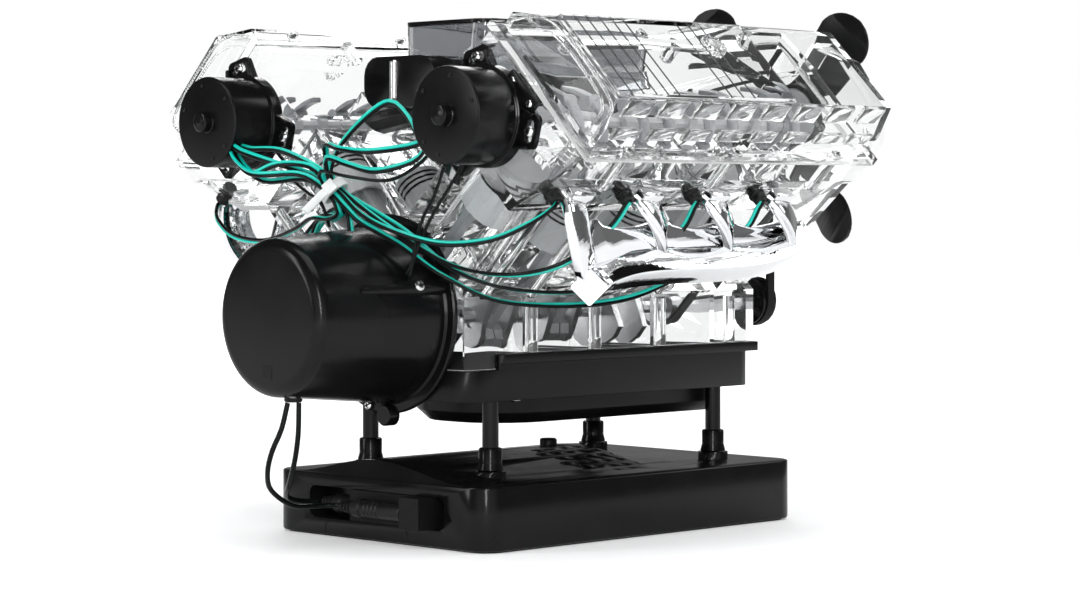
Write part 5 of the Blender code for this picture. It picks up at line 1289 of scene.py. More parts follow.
    def through_tie(self, start: Iterable[Point], end: Iterable[Point], place: int) -> list[Vector]:
        """A lead's route through the strap, in its own place in the bundle.

        Args:
            start: The route before the strap.
            end: The route after it.
            place: The lead's place round the bundle, where the last one is the middle.

        Returns:
            The whole route.
        """
        angle = FULL_TURN * place / self.bundle_places
        radius = self.bundle_radius if place < self.bundle_places else 0.0
        middle = [self.tie_frame() @ Vector((radius * math.cos(angle), radius * math.sin(angle), z))
                  for z in (-self.tie_length / 2, self.tie_length / 2)]
        return [*(Vector(p) for p in start), *middle, *(Vector(p) for p in end)]

    def build(self) -> None:
        """Makes the boots, the twin leads, the strap and the thin strays."""
        spans = ((BANKS[0], self.near_starts, self.near_turns, self.near_places),
                 (BANKS[1], self.far_starts, self.far_turns, self.far_places))
        stand_for = ["wiring_harness"]
        for bank, starts, turns, places in spans:
            for i, (start, turn, place) in enumerate(zip(starts, turns, places)):
                x = self.boot_first + self.boot_spacing * i
                ends = [(p[0], bank.side.value * p[1], p[2]) for p in self.lead_ends[i]]
                end = [*turn, *ends, bank.place(x, self.boot_top, self.boot_up)]
                boot = self.boot(bank, i, x)
                name = f"spark_lead_{bank.side.word}_{i + 1}"
                self.twin(name, self.through_tie(start, end, place), stand_for)
        feed = self.through_tie(self.feed_start, self.feed_end, self.bundle_places)
        self.twin("motor_feed", feed, stand_for)
        for i, route in enumerate(self.strays):
            points = smooth_route(route, self.stray_step)
            wire = curve_cord(f"thin_wire_{i + 1}", points, self.stray_width, WIRE_BLACK)
        self.strap()

    def twin(self, name: str, route: Sequence[Vector],
             stand_for: list[str]) -> None:
        """A teal wire and a black wire side by side, which turn slowly round each other.

        Args:
            name: The lead's name.
            route: The lead's middle line.
            stand_for: Nodes that the first wire replaces. It is emptied.
        """
        points = smooth_route(route, self.width * CORD_STEP)
        along = 0.0
        lines: dict[str, list[Vector]] = {"teal": [], "black": []}
        for i, frame in enumerate(frames_along(points, self.twist_up)):
            along += (points[i] - points[max(i - 1, 0)]).length
            swing = math.sin(along * self.twist_pace + len(name) + ord(name[-1]))
            for word, phase in (("teal", 0.0), ("black", math.pi)):
                turn = self.twist + self.twist_swing * swing + phase
                lines[word].append(frame @ (Vector((math.cos(turn), math.sin(turn), 0)) * self.width / 4))
        for word, finish, slot in (("teal", WIRE_TEAL, Slot.TEAL), ("black", WIRE_BLACK, Slot.BLACK_RUBBER)):
            wire = curve_cord(f"{name}_{word}", lines[word], self.wire, finish)
            if stand_for:
                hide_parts(stand_for.pop())

    def boot(self, bank: Bank, index: int, x: float) -> bpy.types.Object:
        """A soft boot over a spark plug.

        Args:
            bank: The boot's bank.
            index: Its number along the bank.
            x: Its place along the crankshaft.

        Returns:
            The piece.
        """
        side = bank.side.value
        place = bank.frame() @ facing((x, side * self.boot_base, self.boot_up), (0, side, 0))
        shape = Shape().turned(self.boot_profile, place, 20)
        return shape.piece(f"boot_{bank.side.word}_{index + 1}", (SOFT,), Slot.BLACK_RUBBER)

    def strap(self) -> None:
        """The white strap round the bundle, its head and its tail."""
        half, frame = self.strap_width / 2, self.tie_frame()
        ring = rounded((self.tie_core, -half), (self.tie_outer, half), self.strap_edge, 1)
        shape = Shape().turned(ring, frame, 28)
        toward = frame.inverted().to_3x3() @ Vector(self.head_toward)
        angle = math.atan2(toward.y, toward.x)
        out = Matrix.Translation((self.tie_outer - self.head_sunk, 0, 0))
        head = frame @ Matrix.Rotation(angle, 4, "Z") @ out
        shape.block(self.head_low, self.head_high, head, self.head_edge)
        wide, high = self.tail_half
        section = rounded((-wide, -high), (wide, high), self.strap_edge, 2)
        shape.sweep(section, frames_along(smooth_route(self.tail, self.tail_step)), head)
        shape.piece("cable_strap", (STRAP,), Slot.WHITE, ("wire_tie",))


@dataclass
class Stand:
    """The black stand: shell, rear panel seams, feet, start button, sockets and posts."""

    half_length: float = 0.107
    post_x: tuple[float, float] = (-0.073, 0.080)
    post_y: float = 0.041
    post_profile: tuple = (
        (0, 0.0335), (0.0059, 0.0335), (0.0062, 0.0339), (0.0055, 0.0365), (0.0054, 0.0371), (0.0054, 0.0433),
        (0.0051, 0.0438), (0.0046, 0.0440), (0.0039, 0.0440), (0.0038, 0.0441), (0.0038, 0.0652), (0, 0.0652),
    )
    button_place: Point = (0.012, 0.006, 0)
    button_profile: tuple = (
        (0, 0.0288), (0.0042, 0.0288), (0.0042, 0.0399), (0.0040, 0.0404), (0.0035, 0.0408), (0.00252, 0.0406),
        (0, 0.0403),
    )
    seams_at: tuple = ((0.0340, 0.0016), (-0.0205, -0.0016))
    seam_low: float = 0.0014
    seam_high: float = 0.0082
    seam_half: float = 0.00016
    seam_edge: float = 0.00005

    def build(self, frame: dict) -> None:
        """Dresses the stand.
        """
        refined(frame, "base_shell", "stand_shell", BLACK, soften=0.0008)
        for node, finish in (("base_floor", MATT), ("speaker", STEEL), ("socket_block", MATT)):
            dress(frame, node, finish)
        self.posts()
        self.button()
        self.seams()

    def posts(self) -> None:
        """The four posts, each with a sleeve at its foot."""
        for end, x in zip(("rear", "front"), self.post_x):
            for bank in BANKS:
                place = Matrix.Translation((x, bank.side.value * self.post_y, 0))
                word = f"{end}_{bank.side.word}"
                shape = Shape().turned(self.post_profile, place, 40)
                shape.piece(f"leg_{word}", (BLACK,), Slot.BLACK_GLOSS, (f"post_{word}",))

    def button(self) -> None:
        """The start button, domed and dished at its top."""
        shape = Shape().turned(self.button_profile, Matrix.Translation(self.button_place), 32)
        shape.piece("push_button", (SATIN,), Slot.BLACK_GLOSS, ("start_button",), "button")

    def seams(self) -> None:
        """The two fine seams of the panel under the rear recess, which lean towards each other."""
        shape = Shape()
        x, half = -self.half_length, self.seam_half
        for y, lean in self.seams_at:
            low, high = Vector((x, y + lean, self.seam_low)), Vector((x, y, self.seam_high))
            frames = [facing(p, high - low) for p in (low, high)]
            shape.sweep(rounded((-half, -half), (half, half), self.seam_edge, 1), frames)
        shape.piece("panel_seams", (SOFT,), Slot.BLACK_RUBBER)


@dataclass
class LowerEngine:
    """The oil pan and the clear crankcase with its columns."""

    column_out: float = 0.04848
    column_x: tuple[float, ...] = (-0.0540, -0.0120, 0.0330, 0.0830)
    column_profile: tuple = ((0, 0.0874), (0.0032, 0.0874), (0.002944, 0.1100), (0.00224, 0.1110), (0, 0.1110))
    pan_screws: tuple[Point, ...] = ((-0.0600, -0.0440, 0.0655), (-0.0600, 0.0440, 0.0655))
    block_out: float = 0.028
    block_low: float = 0.0405
    block_high: float = 0.0975
    rib_x: tuple[float, ...] = (-0.0860, -0.0555, -0.0125, 0.0305)
    rib_half: float = 0.0022
    rib_proud: float = 0.0024
    rib_edge: float = 0.0006

    def build(self, frame: dict) -> None:
        """Dresses the pan, the crankcase and both blocks.
        """
        refined(frame, "oil_pan", "oil_pan_shell", SATIN, soften=0.0007)
        refined(frame, "crankcase", "clear_crankcase", CLEAR, soften=0.0004)
        for bank in BANKS:
            word = bank.side.word
            refined(frame, f"cylinder_block_{word}", f"clear_block_{word}", CLEAR_THICK, soften=0.0005)
            self.block_ribs(bank)
        self.columns()
        self.screws()

    def columns(self) -> None:
        """The upright clear columns that take the crankcase's screws."""
        for bank in BANKS:
            shape = Shape()
            for x in self.column_x:
                shape.turned(self.column_profile, Matrix.Translation((x, bank.side.value * self.column_out, 0)), 20)
            shape.piece(f"case_columns_{bank.side.word}", (CLEAR_CRISP,), Slot.CLEAR)

    def block_ribs(self, bank: Bank) -> None:
        """The clear ribs along a block's outer face.

        Args:
            bank: The block's bank.
        """
        shape = Shape()
        side = bank.side.value
        for x in self.rib_x:
            low = (x - self.rib_half, side * self.block_out, self.block_low)
            high = (x + self.rib_half, side * (self.block_out + self.rib_proud), self.block_high)
            shape.block(low, high, bank.frame(), self.rib_edge)
        shape.piece(f"block_ribs_{bank.side.word}", (CLEAR_CRISP,), Slot.CLEAR)

    def screws(self) -> None:
        """The screws under the pan's rim."""
        shape = Shape()
        for place in self.pan_screws:
            shape.screw(facing(place, (0, 0, -1)), PAN_SCREW)
        shape.piece("pan_screws", (SCREW, MATT), Slot.STEEL)


@dataclass
class TopEnd:
    """A bank's head, valve cover and valve gear."""

    screw_x: tuple[float, ...] = (-0.0860, -0.0160, 0.0550)
    screw_out: float = 0.0468
    screw_in: float = -0.0345
    flange_top: float = 0.1505
    washer_profile: tuple = (
        (0, 0), (0.0031, 0), (0.0031, 0.0006), (0.00279, 0.001), (0.002232, 0.001), (0.00217, 0.0002),
        (0, 0.0002),
    )
    column_out: float = 0.0460
    column_profile: tuple = ((0, 0.1270), (0.002325, 0.1270), (0.0031, 0.1280), (0.0031, 0.1458), (0, 0.1458))
    groove_x: tuple[float, ...] = (-0.0970, -0.0896, -0.0815, -0.0742, -0.0670, -0.0330, -0.0252, -0.0175)
    groove_low: Point = (-0.00028, -0.0105, 0.1761)
    groove_high: Point = (0.00028, 0.0388, 0.17675)
    groove_edge: float = 0.0002
    cap_place: Point = (-0.020, 0.006, 0.178)
    cap_ribs: int = 14
    cap_rib_low: Point = (0.0048, -0.0009, -0.0028)
    cap_rib_high: Point = (0.0063, 0.0009, 0.0009)
    cap_rib_edge: float = 0.0004
    cap_profile: tuple = ((0, 0.0001), (0.0030, 0.0001), (0.00276, 0.0018), (0.0018, 0.0022), (0, 0.0022))
    throw_first: float = -0.077
    throw_step: float = 0.043
    valve_shift: float = 0.008
    rocker_line: tuple = (
        (0, -0.0110, 0.1325), (0, -0.0050, 0.1365), (0, 0.0040, 0.1400), (0, 0.0120, 0.1400),
        (0, 0.0190, 0.1362), (0, 0.0215, 0.1325),
    )
    rocker_step: float = 0.002
    rocker_half: Point = (0.0028, 0.0011)
    rocker_edge: float = 0.0006
    pivot_place: Point = (-0.0042, 0.0045, 0.1385)
    pivot_profile: tuple = ((0, 0), (0.0036, 0), (0.0036, 0.0084), (0, 0.0084))
    valve_out: float = 0.0212
    valve_profile: tuple = (
        (0, 0.1045), (0.0011, 0.1045), (0.0011, 0.1300), (0.0034, 0.1300), (0.0034, 0.1316), (0.0016, 0.1318),
        (0.0016, 0.1328), (0, 0.1328),
    )
    spring_turns: int = 5
    spring_steps: int = 10
    spring_radius: float = 0.0028
    spring_low: float = 0.1165
    spring_rise: float = 0.0132
    spring_wire: float = 0.00042
    frame_rear: float = -0.1062
    frame_half: float = 0.00055
    frame_corners: tuple = (
        (-0.0285, 0.1520), (-0.0285, 0.1565), (-0.0095, 0.1715), (0.0370, 0.1715), (0.0410, 0.1600),
        (0.0420, 0.1520),
    )
    frame_insets: tuple[float, ...] = (0.0, 0.0035)
    frame_inset_above: float = 0.155
    frame_step: float = 0.0015
    pocket_count: int = 8
    pocket_first: float = -0.088
    pocket_step: float = 0.0225
    pocket_half: float = 0.0082
    pocket_rows: tuple = ((0.1635, 0.1735, 0.0400), (0.1525, 0.1595, 0.0425))
    pocket_depth: float = 0.0020
    pocket_edge: float = 0.0019
    peg_x: tuple[float, ...] = (-0.0550, 0.0100, 0.0600)
    peg_out: float = -0.0345
    peg_profile: tuple = (
        (0, 0.1335), (0.00186, 0.1335), (0.00186, 0.1343), (0.0031, 0.1343), (0.0031, 0.1457), (0, 0.1457),
    )
    bracket_low: Point = (-0.1140, -0.0090, 0.1385)
    bracket_high: Point = (-0.1112, 0.0130, 0.1455)
    bracket_edge: float = 0.0009
    bracket_screw_out: tuple[float, ...] = (-0.0048, 0.0098)
    bracket_screw_up: float = 0.1420

    def build(self, frame: dict) -> None:
        """Dresses the upper half of both banks.
        """
        for bank in BANKS:
            word = bank.side.word
            # The far bank takes the paler clear copy, which is painted light.
            clear = CLEAR if bank.side is Side.NEAR else CLEAR_PAINTED_LIGHT
            refined(frame, f"cylinder_head_{word}", f"clear_head_{word}", clear, soften=0.0005)
            refined(frame, f"valve_cover_{word}", f"clear_cover_{word}", clear, soften=0.0006)
            self.flange_screws(bank)
            self.grooves(bank)
            self.valve_gear(bank)
            self.mouldings(bank)
            self.bracket(bank)

    def mouldings(self, bank: Bank) -> None:
        """The crisp clear frame on the cover's rear face, the pockets along its ledge and the inner pegs.

        Args:
            bank: The cover's bank.
        """
        shape = Shape()
        side, frame = bank.side.value, bank.frame()
        half = self.frame_half
        section = rounded((-half, -half), (half, half), half / 2, 2)
        for inset in self.frame_insets:
            corners = [(self.frame_rear, side * (out - math.copysign(inset, out)),
                        up - (inset if up > self.frame_inset_above else 0)) for out, up in self.frame_corners]
            shape.sweep(section, frames_along(smooth_route(corners, self.frame_step), (1, 0, 0)), frame)
        for i in range(self.pocket_count):
            x = self.pocket_first + self.pocket_step * i
            for low, high, out in self.pocket_rows:
                shape.block((x - self.pocket_half, side * (out - self.pocket_depth), low),
                            (x + self.pocket_half, side * out, high), frame, self.pocket_edge, 4)
        for x in self.peg_x:
            shape.turned(self.peg_profile, frame @ Matrix.Translation((x, side * self.peg_out, 0)), 20)
        shape.piece(f"cover_mouldings_{bank.side.word}", (CLEAR_CRISP,), Slot.CLEAR)

    def bracket(self, bank: Bank) -> None:
        """The small black bracket with two screws on the head's rear wall.

        Args:
            bank: The head's bank.
        """
        shape = Shape()
        side, frame = bank.side.value, bank.frame()
        low, high = ((x, side * out, up) for x, out, up in (self.bracket_low, self.bracket_high))
        shape.block(low, high, frame, self.bracket_edge)
        shape.piece(f"cam_bracket_{bank.side.word}", (SATIN,), Slot.BLACK_GLOSS)
        metal = Shape()
        for out in self.bracket_screw_out:
            seat = bank.place(self.bracket_low[0], out, self.bracket_screw_up)
            metal.screw(facing(seat, (-1, 0, 0)), SMALL_SCREW)
        metal.piece(f"bracket_screws_{bank.side.word}", (SCREW, MATT), Slot.STEEL)

    def flange_screws(self, bank: Bank) -> None:
        """The screws along the cover's flange and the clear columns under them.

        Args:
            bank: The cover's bank.
        """
        metal, clear = Shape(), Shape()
        side, frame = bank.side.value, bank.frame()
        for x in self.screw_x:
            for out in (self.screw_out, self.screw_in):
                seat = frame @ Matrix.Translation((x, side * out, self.flange_top))
                metal.screw(seat, SMALL_SCREW)
                clear.turned(self.washer_profile, seat, 20)
            clear.turned(self.column_profile, frame @ Matrix.Translation((x, side * self.column_out, 0)), 20)
        metal.piece(f"cover_screws_{bank.side.word}", (SCREW, MATT), Slot.STEEL)
        clear.piece(f"screw_columns_{bank.side.word}", (CLEAR_CRISP,), Slot.CLEAR)

    def grooves(self, bank: Bank) -> None:
        """The fine moulded lines across the cover's top and the ring of its oil cap.

        Args:
            bank: The cover's bank.
        """
        shape = Shape()
        side, frame = bank.side.value, bank.frame()
        for x in self.groove_x:
            low, high = ((x + dx, side * out, up) for dx, out, up in (self.groove_low, self.groove_high))
            shape.block(low, high, frame, self.groove_edge, 1)
        # The near cover's lines are painted dark as shade and the far cover's are painted pale as light.
        finish = CLEAR_LINE_PAINTED_SHADE if bank.side is Side.NEAR else CLEAR_PAINTED_LIGHT
        shape.piece(f"cover_lines_{bank.side.word}", (finish,), Slot.CLEAR)
        cap = Shape()
        x, out, up = self.cap_place
        seat = frame @ Matrix.Translation((x, side * out, up))
        for i in range(self.cap_ribs):
            spoke = seat @ Matrix.Rotation(FULL_TURN * i / self.cap_ribs, 4, "Z")
            cap.block(self.cap_rib_low, self.cap_rib_high, spoke, self.cap_rib_edge, 1)
        cap.turned(self.cap_profile, seat, 20)
        cap.piece(f"oil_cap_{bank.side.word}", (CLEAR_CRISP,), Slot.CLEAR)

    def valve_gear(self, bank: Bank) -> None:
        """Rockers, valve stems and springs under the cover.

        Args:
            bank: The bank.
        """
        arms, springs = Shape(), Shape()
        wide, high = self.rocker_half
        section = rounded((-wide, -high), (wide, high), self.rocker_edge, 2)
        line = frames_along(smooth_route(self.rocker_line, self.rocker_step))
        steps = self.spring_turns * self.spring_steps
        turns = [FULL_TURN * k / self.spring_steps for k in range(steps + 1)]
        coil = [Vector((self.spring_radius * math.cos(turn), self.spring_radius * math.sin(turn),
                        self.spring_low + self.spring_rise * k / steps)) for k, turn in enumerate(turns)]
        wire, windings = circle(self.spring_wire, 5), frames_along(coil)
        mirror = Matrix.Diagonal((1, bank.side.value, 1, 1))
        for i in range(BANK_CYLINDERS):
            for shift in (-self.valve_shift, self.valve_shift):
                x = self.throw_first + self.throw_step * i + shift
                place = bank.frame() @ Matrix.Translation((x, 0, 0)) @ mirror
                arms.sweep(section, line, place)
                arms.turned(self.pivot_profile, place @ facing(self.pivot_place, (1, 0, 0)), 18)
                stem = place @ Matrix.Translation((0, self.valve_out, 0))
                arms.turned(self.valve_profile, stem, 14)
                springs.sweep(wire, windings, stem)
        arms.piece(f"rockers_{bank.side.word}", (ROCKER,), Slot.GREY)
        springs.piece(f"valve_springs_{bank.side.word}", (SCREW,), Slot.STEEL)


@dataclass
class FrontEnd:
    """The timing cover and belt, the fan with its housing, belt and crank pulley."""

    fan_x: float = 0.172
    fan_height: float = 0.197
    fan_reach: float = 0.0779
    hub_profile: tuple = (
        (0, 0.178), (0.00495, 0.178), (0.0072, 0.177), (0.009, 0.1745), (0.009, 0.166), (0.0065, 0.166),
        (0.0065, 0.162), (0.0122, 0.162), (0.0125, 0.1616), (0.0125, 0.1601), (0.011, 0.1598), (0.011, 0.1542),
        (0.0125, 0.1539), (0.0125, 0.1524), (0.0122, 0.152), (0.0028, 0.152), (0.0028, 0.098), (0, 0.098),
    )
    blades: int = 4
    blade_half: float = 0.015
    blade_root: float = 0.007
    blade_thick: float = 0.0018
    blade_from: float = 0.0045
    blade_tip_half: float = 0.0006
    blade_turn: float = 20.0
    blade_twist: float = 10.0
    twist_middle: float = 0.6
    blade_start: float = -41.0
    blade_steps: int = 26
    step_power: float = 1.35
    width_power: float = 1.6
    blade_section: tuple = (
        (-0.5, -0.47), (-0.2, -0.5), (0.2, -0.5), (0.5, -0.47), (0.5, 0.47), (0.2, 0.5), (-0.2, 0.5),
        (-0.5, 0.47),
    )
    screw_x: float = 0.0982
    screw_places: tuple = ((0.024, 0.146), (0.024, 0.106), (0.021, 0.066))

    def build(self, frame: dict) -> None:
        """Dresses the front end.
        """
        refined(frame, "timing_cover", "clear_timing_cover", CLEAR, soften=0.0005)
        dress(frame, "timing_belt", BELTING)
        dress(frame, "fan_belt", BELTING)
        refined(frame, "fan_housing", "fan_snout", BLACK, soften=0.0006)
        refined(frame, "crank_pulley", "grooved_pulley", BLACK, soften=0.0003, body="crank")
        self.fan()
        self.screws()

    def fan(self) -> None:
        """The fan: paddles that are twisted and rounded, on a hub with a pulley behind it."""
        shape = Shape().turned(self.hub_profile, along_x((0, 0, self.fan_height)), 36)
        frames = self.blade_frames()
        for blade in range(self.blades):
            turn = Matrix.Rotation(math.radians(self.blade_start) + FULL_TURN * blade / self.blades, 4, "X")
            shape.sweep(self.blade_section, frames, Matrix.Translation((self.fan_x, 0, self.fan_height)) @ turn)
        shape.piece("fan_with_pulley", (SATIN,), Slot.BLACK_GLOSS, ("fan",), "fan", crisp=40.0)

    def blade_frames(self) -> list[Matrix]:
        """The frames of a blade's section from the hub to the tip, whose steps are shortest at the tip.

        Returns:
            The frames, scaled to the blade's width and thickness.
        """
        frames = []
        tip = self.fan_reach - self.blade_half
        for i in range(self.blade_steps + 1):
            share = 1 - (1 - i / self.blade_steps) ** self.step_power
            reach = self.blade_from + (self.fan_reach - self.blade_from) * share
            if reach > tip:
                half = math.sqrt(max(self.blade_half ** 2 - (reach - tip) ** 2, self.blade_tip_half ** 2))
            else:
                half = self.blade_root + (self.blade_half - self.blade_root) * (reach / tip) ** self.width_power
            turn = math.radians(self.blade_turn + self.blade_twist * (self.twist_middle - reach / self.fan_reach))
            frames.append(Matrix.Translation((0, 0, reach)) @ Matrix.Rotation(turn, 4, "Z")
                          @ Matrix.Diagonal((self.blade_thick, half * 2, 1, 1)))
        return frames

    def screws(self) -> None:
        """The screws on the timing cover's face."""
        shape = Shape()
        for bank in BANKS:
            for out, up in self.screw_places:
                shape.screw(along_x(bank.place(self.screw_x, out, up)), SMALL_SCREW)
        shape.piece("timing_screws", (SCREW, MATT), Slot.STEEL)


@dataclass
class MotorCover:
    """The round cover at the rear with its lugs and screws."""

    crank_height: float = CRANK_HEIGHT
    flange_profile: tuple = (
        (0.0388, -0.0975), (0.0453, -0.0975), (0.0460, -0.0982), (0.0460, -0.0998), (0.0453, -0.1005),
        (0.0418, -0.1005), (0.0408, -0.1015), (0.0408, -0.1035),
    )
    back_centre: Point = (0.0296, -0.1648)
    rounding: float = 0.006
    inner_profile: tuple = ((0, -0.1708), (0, -0.1690), (0.0296, -0.1690))
    lug_circle: float = 0.0465
    lug_angles: tuple[float, ...] = (155.0, 268.0, 25.0)
    lug_profile: tuple = ((0, -0.0977), (0.0050, -0.0977), (0.0050, -0.1027), (0.0044, -0.1035), (0, -0.1035))
    boss_angle: float = 161.0
    boss_radius: float = 0.0036
    boss_rear: float = -0.147
    boss_front: float = -0.1005
    boss_stops: tuple = (
        (0.0, 0.0372, 0.35), (0.25, 0.0378, 0.62), (0.5, 0.0388, 0.85), (0.72, 0.0400, 1.0), (1.0, 0.0402, 1.0),
    )
    boss_screw: Point = (-0.1165, 0.043032)
    boss_screw_lean: float = -0.25
    low_screw: Point = (-0.1011, 0.0438)
    low_screw_angle: float = 284.0
    gland: Point = (-0.150, 0.007, 0)
    gland_profile: tuple = (
        (0, 0.0710), (0.0042, 0.0710), (0.0042, 0.0668), (0.0036, 0.0662), (0.0032, 0.0662), (0.0032, 0.0682),
        (0, 0.0682),
    )
    panel_low: Point = (-0.171, -0.0030, 0.0775)
    panel_high: Point = (-0.1706, 0.0030, 0.0835)
    panel_edge: float = 0.00008

    def build(self) -> None:
        """Makes the cover, its plain panel and its screws."""
        back = arc(self.back_centre, self.rounding, 0, -90, 10)
        profile = [*self.flange_profile, *back, *self.inner_profile]
        shape = Shape().turned(profile, along_x((0, 0, self.crank_height)), 96)
        for angle in self.lug_angles:
            shape.turned(self.lug_profile, self.polar(0, self.lug_circle, angle)[0], 28)
        self.boss(shape)
        shape.turned(self.gland_profile, Matrix.Translation(self.gland), 28)
        shape.piece("motor_housing", (BLACK,), Slot.BLACK_GLOSS, ("motor_cover",), crisp=38.0)
        panel = Shape().block(self.panel_low, self.panel_high, HERE, self.panel_edge, 1)
        panel.piece("plain_panel", (BLACK,), Slot.BLACK_GLOSS)
        screws = Shape()
        place, out = self.polar(*self.boss_screw, self.boss_angle)
        screws.screw(facing(place.translation, (self.boss_screw_lean, out.y, out.z)), BOSS_SCREW)
        place, _ = self.polar(*self.low_screw, self.low_screw_angle)
        screws.screw(facing(place.translation, (-1, 0, 0)), LOW_SCREW)
        screws.piece("housing_screws", (SCREW, MATT), Slot.STEEL)

    def polar(self, x: float, reach: float, angle: float) -> tuple[Matrix, Vector]:
        """A frame along +X at a place round the crankshaft's axis.

        Args:
            x: Place along the axis.
            reach: Distance from the axis.
            angle: Direction from the axis in degrees, from +Y.

        Returns:
            The frame and the direction.
        """
        turn = math.radians(angle)
        out = Vector((0, math.cos(turn), math.sin(turn)))
        return along_x(Vector((x, 0, self.crank_height)) + out * reach), out

    def boss(self, shape: Shape) -> None:
        """The long raised boss along the barrel, thin at its rear end and full at the flange.

        Args:
            shape: The housing's shape.
        """
        frames = []
        for share, reach, size in self.boss_stops:
            x = self.boss_rear + (self.boss_front - self.boss_rear) * share
            frames.append(self.polar(x, reach, self.boss_angle)[0] @ Matrix.Diagonal((size, size, 1, 1)))
        shape.sweep(circle(self.boss_radius, 24), frames)


@dataclass
class Distributors:
    """The two round cans at the rear ends of the camshafts."""

    rear: float = -0.1395
    collar_profile: tuple = (
        (0.0197, -0.1113), (0.0222, -0.1113), (0.0226, -0.1117), (0.0226, -0.1169), (0.0222, -0.1173),
        (0.0216, -0.1173), (0.0213, -0.1176),
    )
    edge_centre: Point = (0.0205, -0.1387)
    edge: float = 0.0008
    boss_profile: tuple = (
        (0.0052, -0.1395), (0.0048, -0.1399), (0.0048, -0.1434), (0.0044, -0.1438), (0.003456, -0.1440),
        (0.00192, -0.1439), (0.001632, -0.1440), (0, -0.1440), (0, -0.1379), (0.0197, -0.1379),
    )
    ear_circle: float = 0.0268
    ear_tip: float = 0.0312
    ear_half: float = 0.0078
    ear_root: float = 0.0102
    ear_inner: float = 0.0183
    ear_corner: float = 0.0030
    ear_hole: float = 0.0021
    ear_slot: float = 0.0032
    ear_low: float = -0.1141
    ear_high: float = -0.1117
    ear_angles: tuple[float, ...] = (75.0, 195.0, 315.0)
    cheek_wide: float = 0.0016
    cheek_low: float = -0.1163
    cheek_high: float = -0.1139
    cheek_edge: float = 0.0004
    cam_up: float = 0.1205
    cam_out: float = -0.0051
    rim_screws: tuple[float, ...] = (38.0, 100.0, 160.0, 285.0, 320.0)
    rim_circle: float = 0.017466
    rim_screw_profile: tuple = ((0, 0), (0.0010, 0), (0.0010, 0.0003), (0.0006, 0.0005), (0, 0.0005))

    def build(self) -> None:
        """Makes both cans with their screws."""
        for bank in BANKS:
            centre = bank.place(0, self.cam_out, self.cam_up)
            self.can(bank, centre)
            self.screws(bank, centre)

    def can(self, bank: Bank, centre: Vector) -> None:
        """One can: a turned body with a collar and a boss, and three slotted ears.

        Args:
            bank: The can's bank.
            centre: Its axis.
        """
        edge = arc(self.edge_centre, self.edge, 0, -90, 5)
        shape = Shape().turned([*self.collar_profile, *edge, *self.boss_profile], along_x(centre), 72)
        for angle in self.ear_angles:
            self.ear(shape, centre, angle)
        shape.piece(f"distributor_can_{bank.side.word}", (BLACK,), Slot.BLACK_GLOSS,
                    (f"distributor_{bank.side.word}",), crisp=38.0)

    def ear(self, shape: Shape, centre: Vector, angle: float) -> None:
        """An ear: a plate with a slot, and a raised cheek along each side.

        Args:
            shape: The can's shape.
            centre: The can's axis.
            angle: The ear's direction in degrees from +Y.
        """
        turn = Matrix.Translation(centre) @ Matrix.Rotation(math.radians(angle), 4, "X")
        place = turn @ Matrix(((0, 0, 1, 0), (1, 0, 0, 0), (0, 1, 0, 0), (0, 0, 0, 1)))
        tip, half, corner, root, inner = self.ear_tip, self.ear_half, self.ear_corner, self.ear_root, self.ear_inner
        outer = [(inner, -root), *arc((tip - corner, -half + corner), corner, -80, 0, 5),
                 *arc((tip - corner, half - corner), corner, 0, 80, 5), (inner, root)]
        slot = [*arc((self.ear_circle, self.ear_slot), self.ear_hole, 0, 180, 8),
                *arc((self.ear_circle, -self.ear_slot), self.ear_hole, 180, 360, 8)]
        solid = bmesh.new()
        edges = closed_loops(solid, (outer, slot), self.ear_low)
        bmesh.ops.triangle_fill(solid, edges=edges, use_beauty=True)
        raised(solid, self.ear_high - self.ear_low)
        shape.gather(solid, place)
        for sign in (-1, 1):
            cheek = [(inner, sign * root), (tip - corner, sign * half),
                     (tip - corner, sign * (half - self.cheek_wide)), (inner, sign * (root - self.cheek_wide))]
            shape.prism(cheek[::sign], self.cheek_low, self.cheek_high, place, self.cheek_edge)

    def screws(self, bank: Bank, centre: Vector) -> None:
        """The bright screws in the ears and the dark ones on the rear face.

        Args:
            bank: The can's bank.
            centre: Its axis.
        """
        bright, dark = Shape(), Shape()
        for angle in self.ear_angles:
            a = math.radians(angle)
            seat = Vector((self.ear_low, centre.y + self.ear_circle * math.cos(a),
                           centre.z + self.ear_circle * math.sin(a)))
            bright.screw(facing(seat, (-1, 0, 0)), EAR_SCREW)
        for angle in self.rim_screws:
            a = math.radians(angle)
            seat = Vector((self.rear, centre.y - bank.side.value * self.rim_circle * math.cos(a),
                           centre.z + self.rim_circle * math.sin(a)))
            dark.turned(self.rim_screw_profile, facing(seat, (-1, 0, 0)), 14)
        word = bank.side.word
        bright.piece(f"ear_screws_{word}", (SCREW, MATT), Slot.STEEL)
        dark.piece(f"face_screws_{word}", (SATIN,), Slot.BLACK_GLOSS)


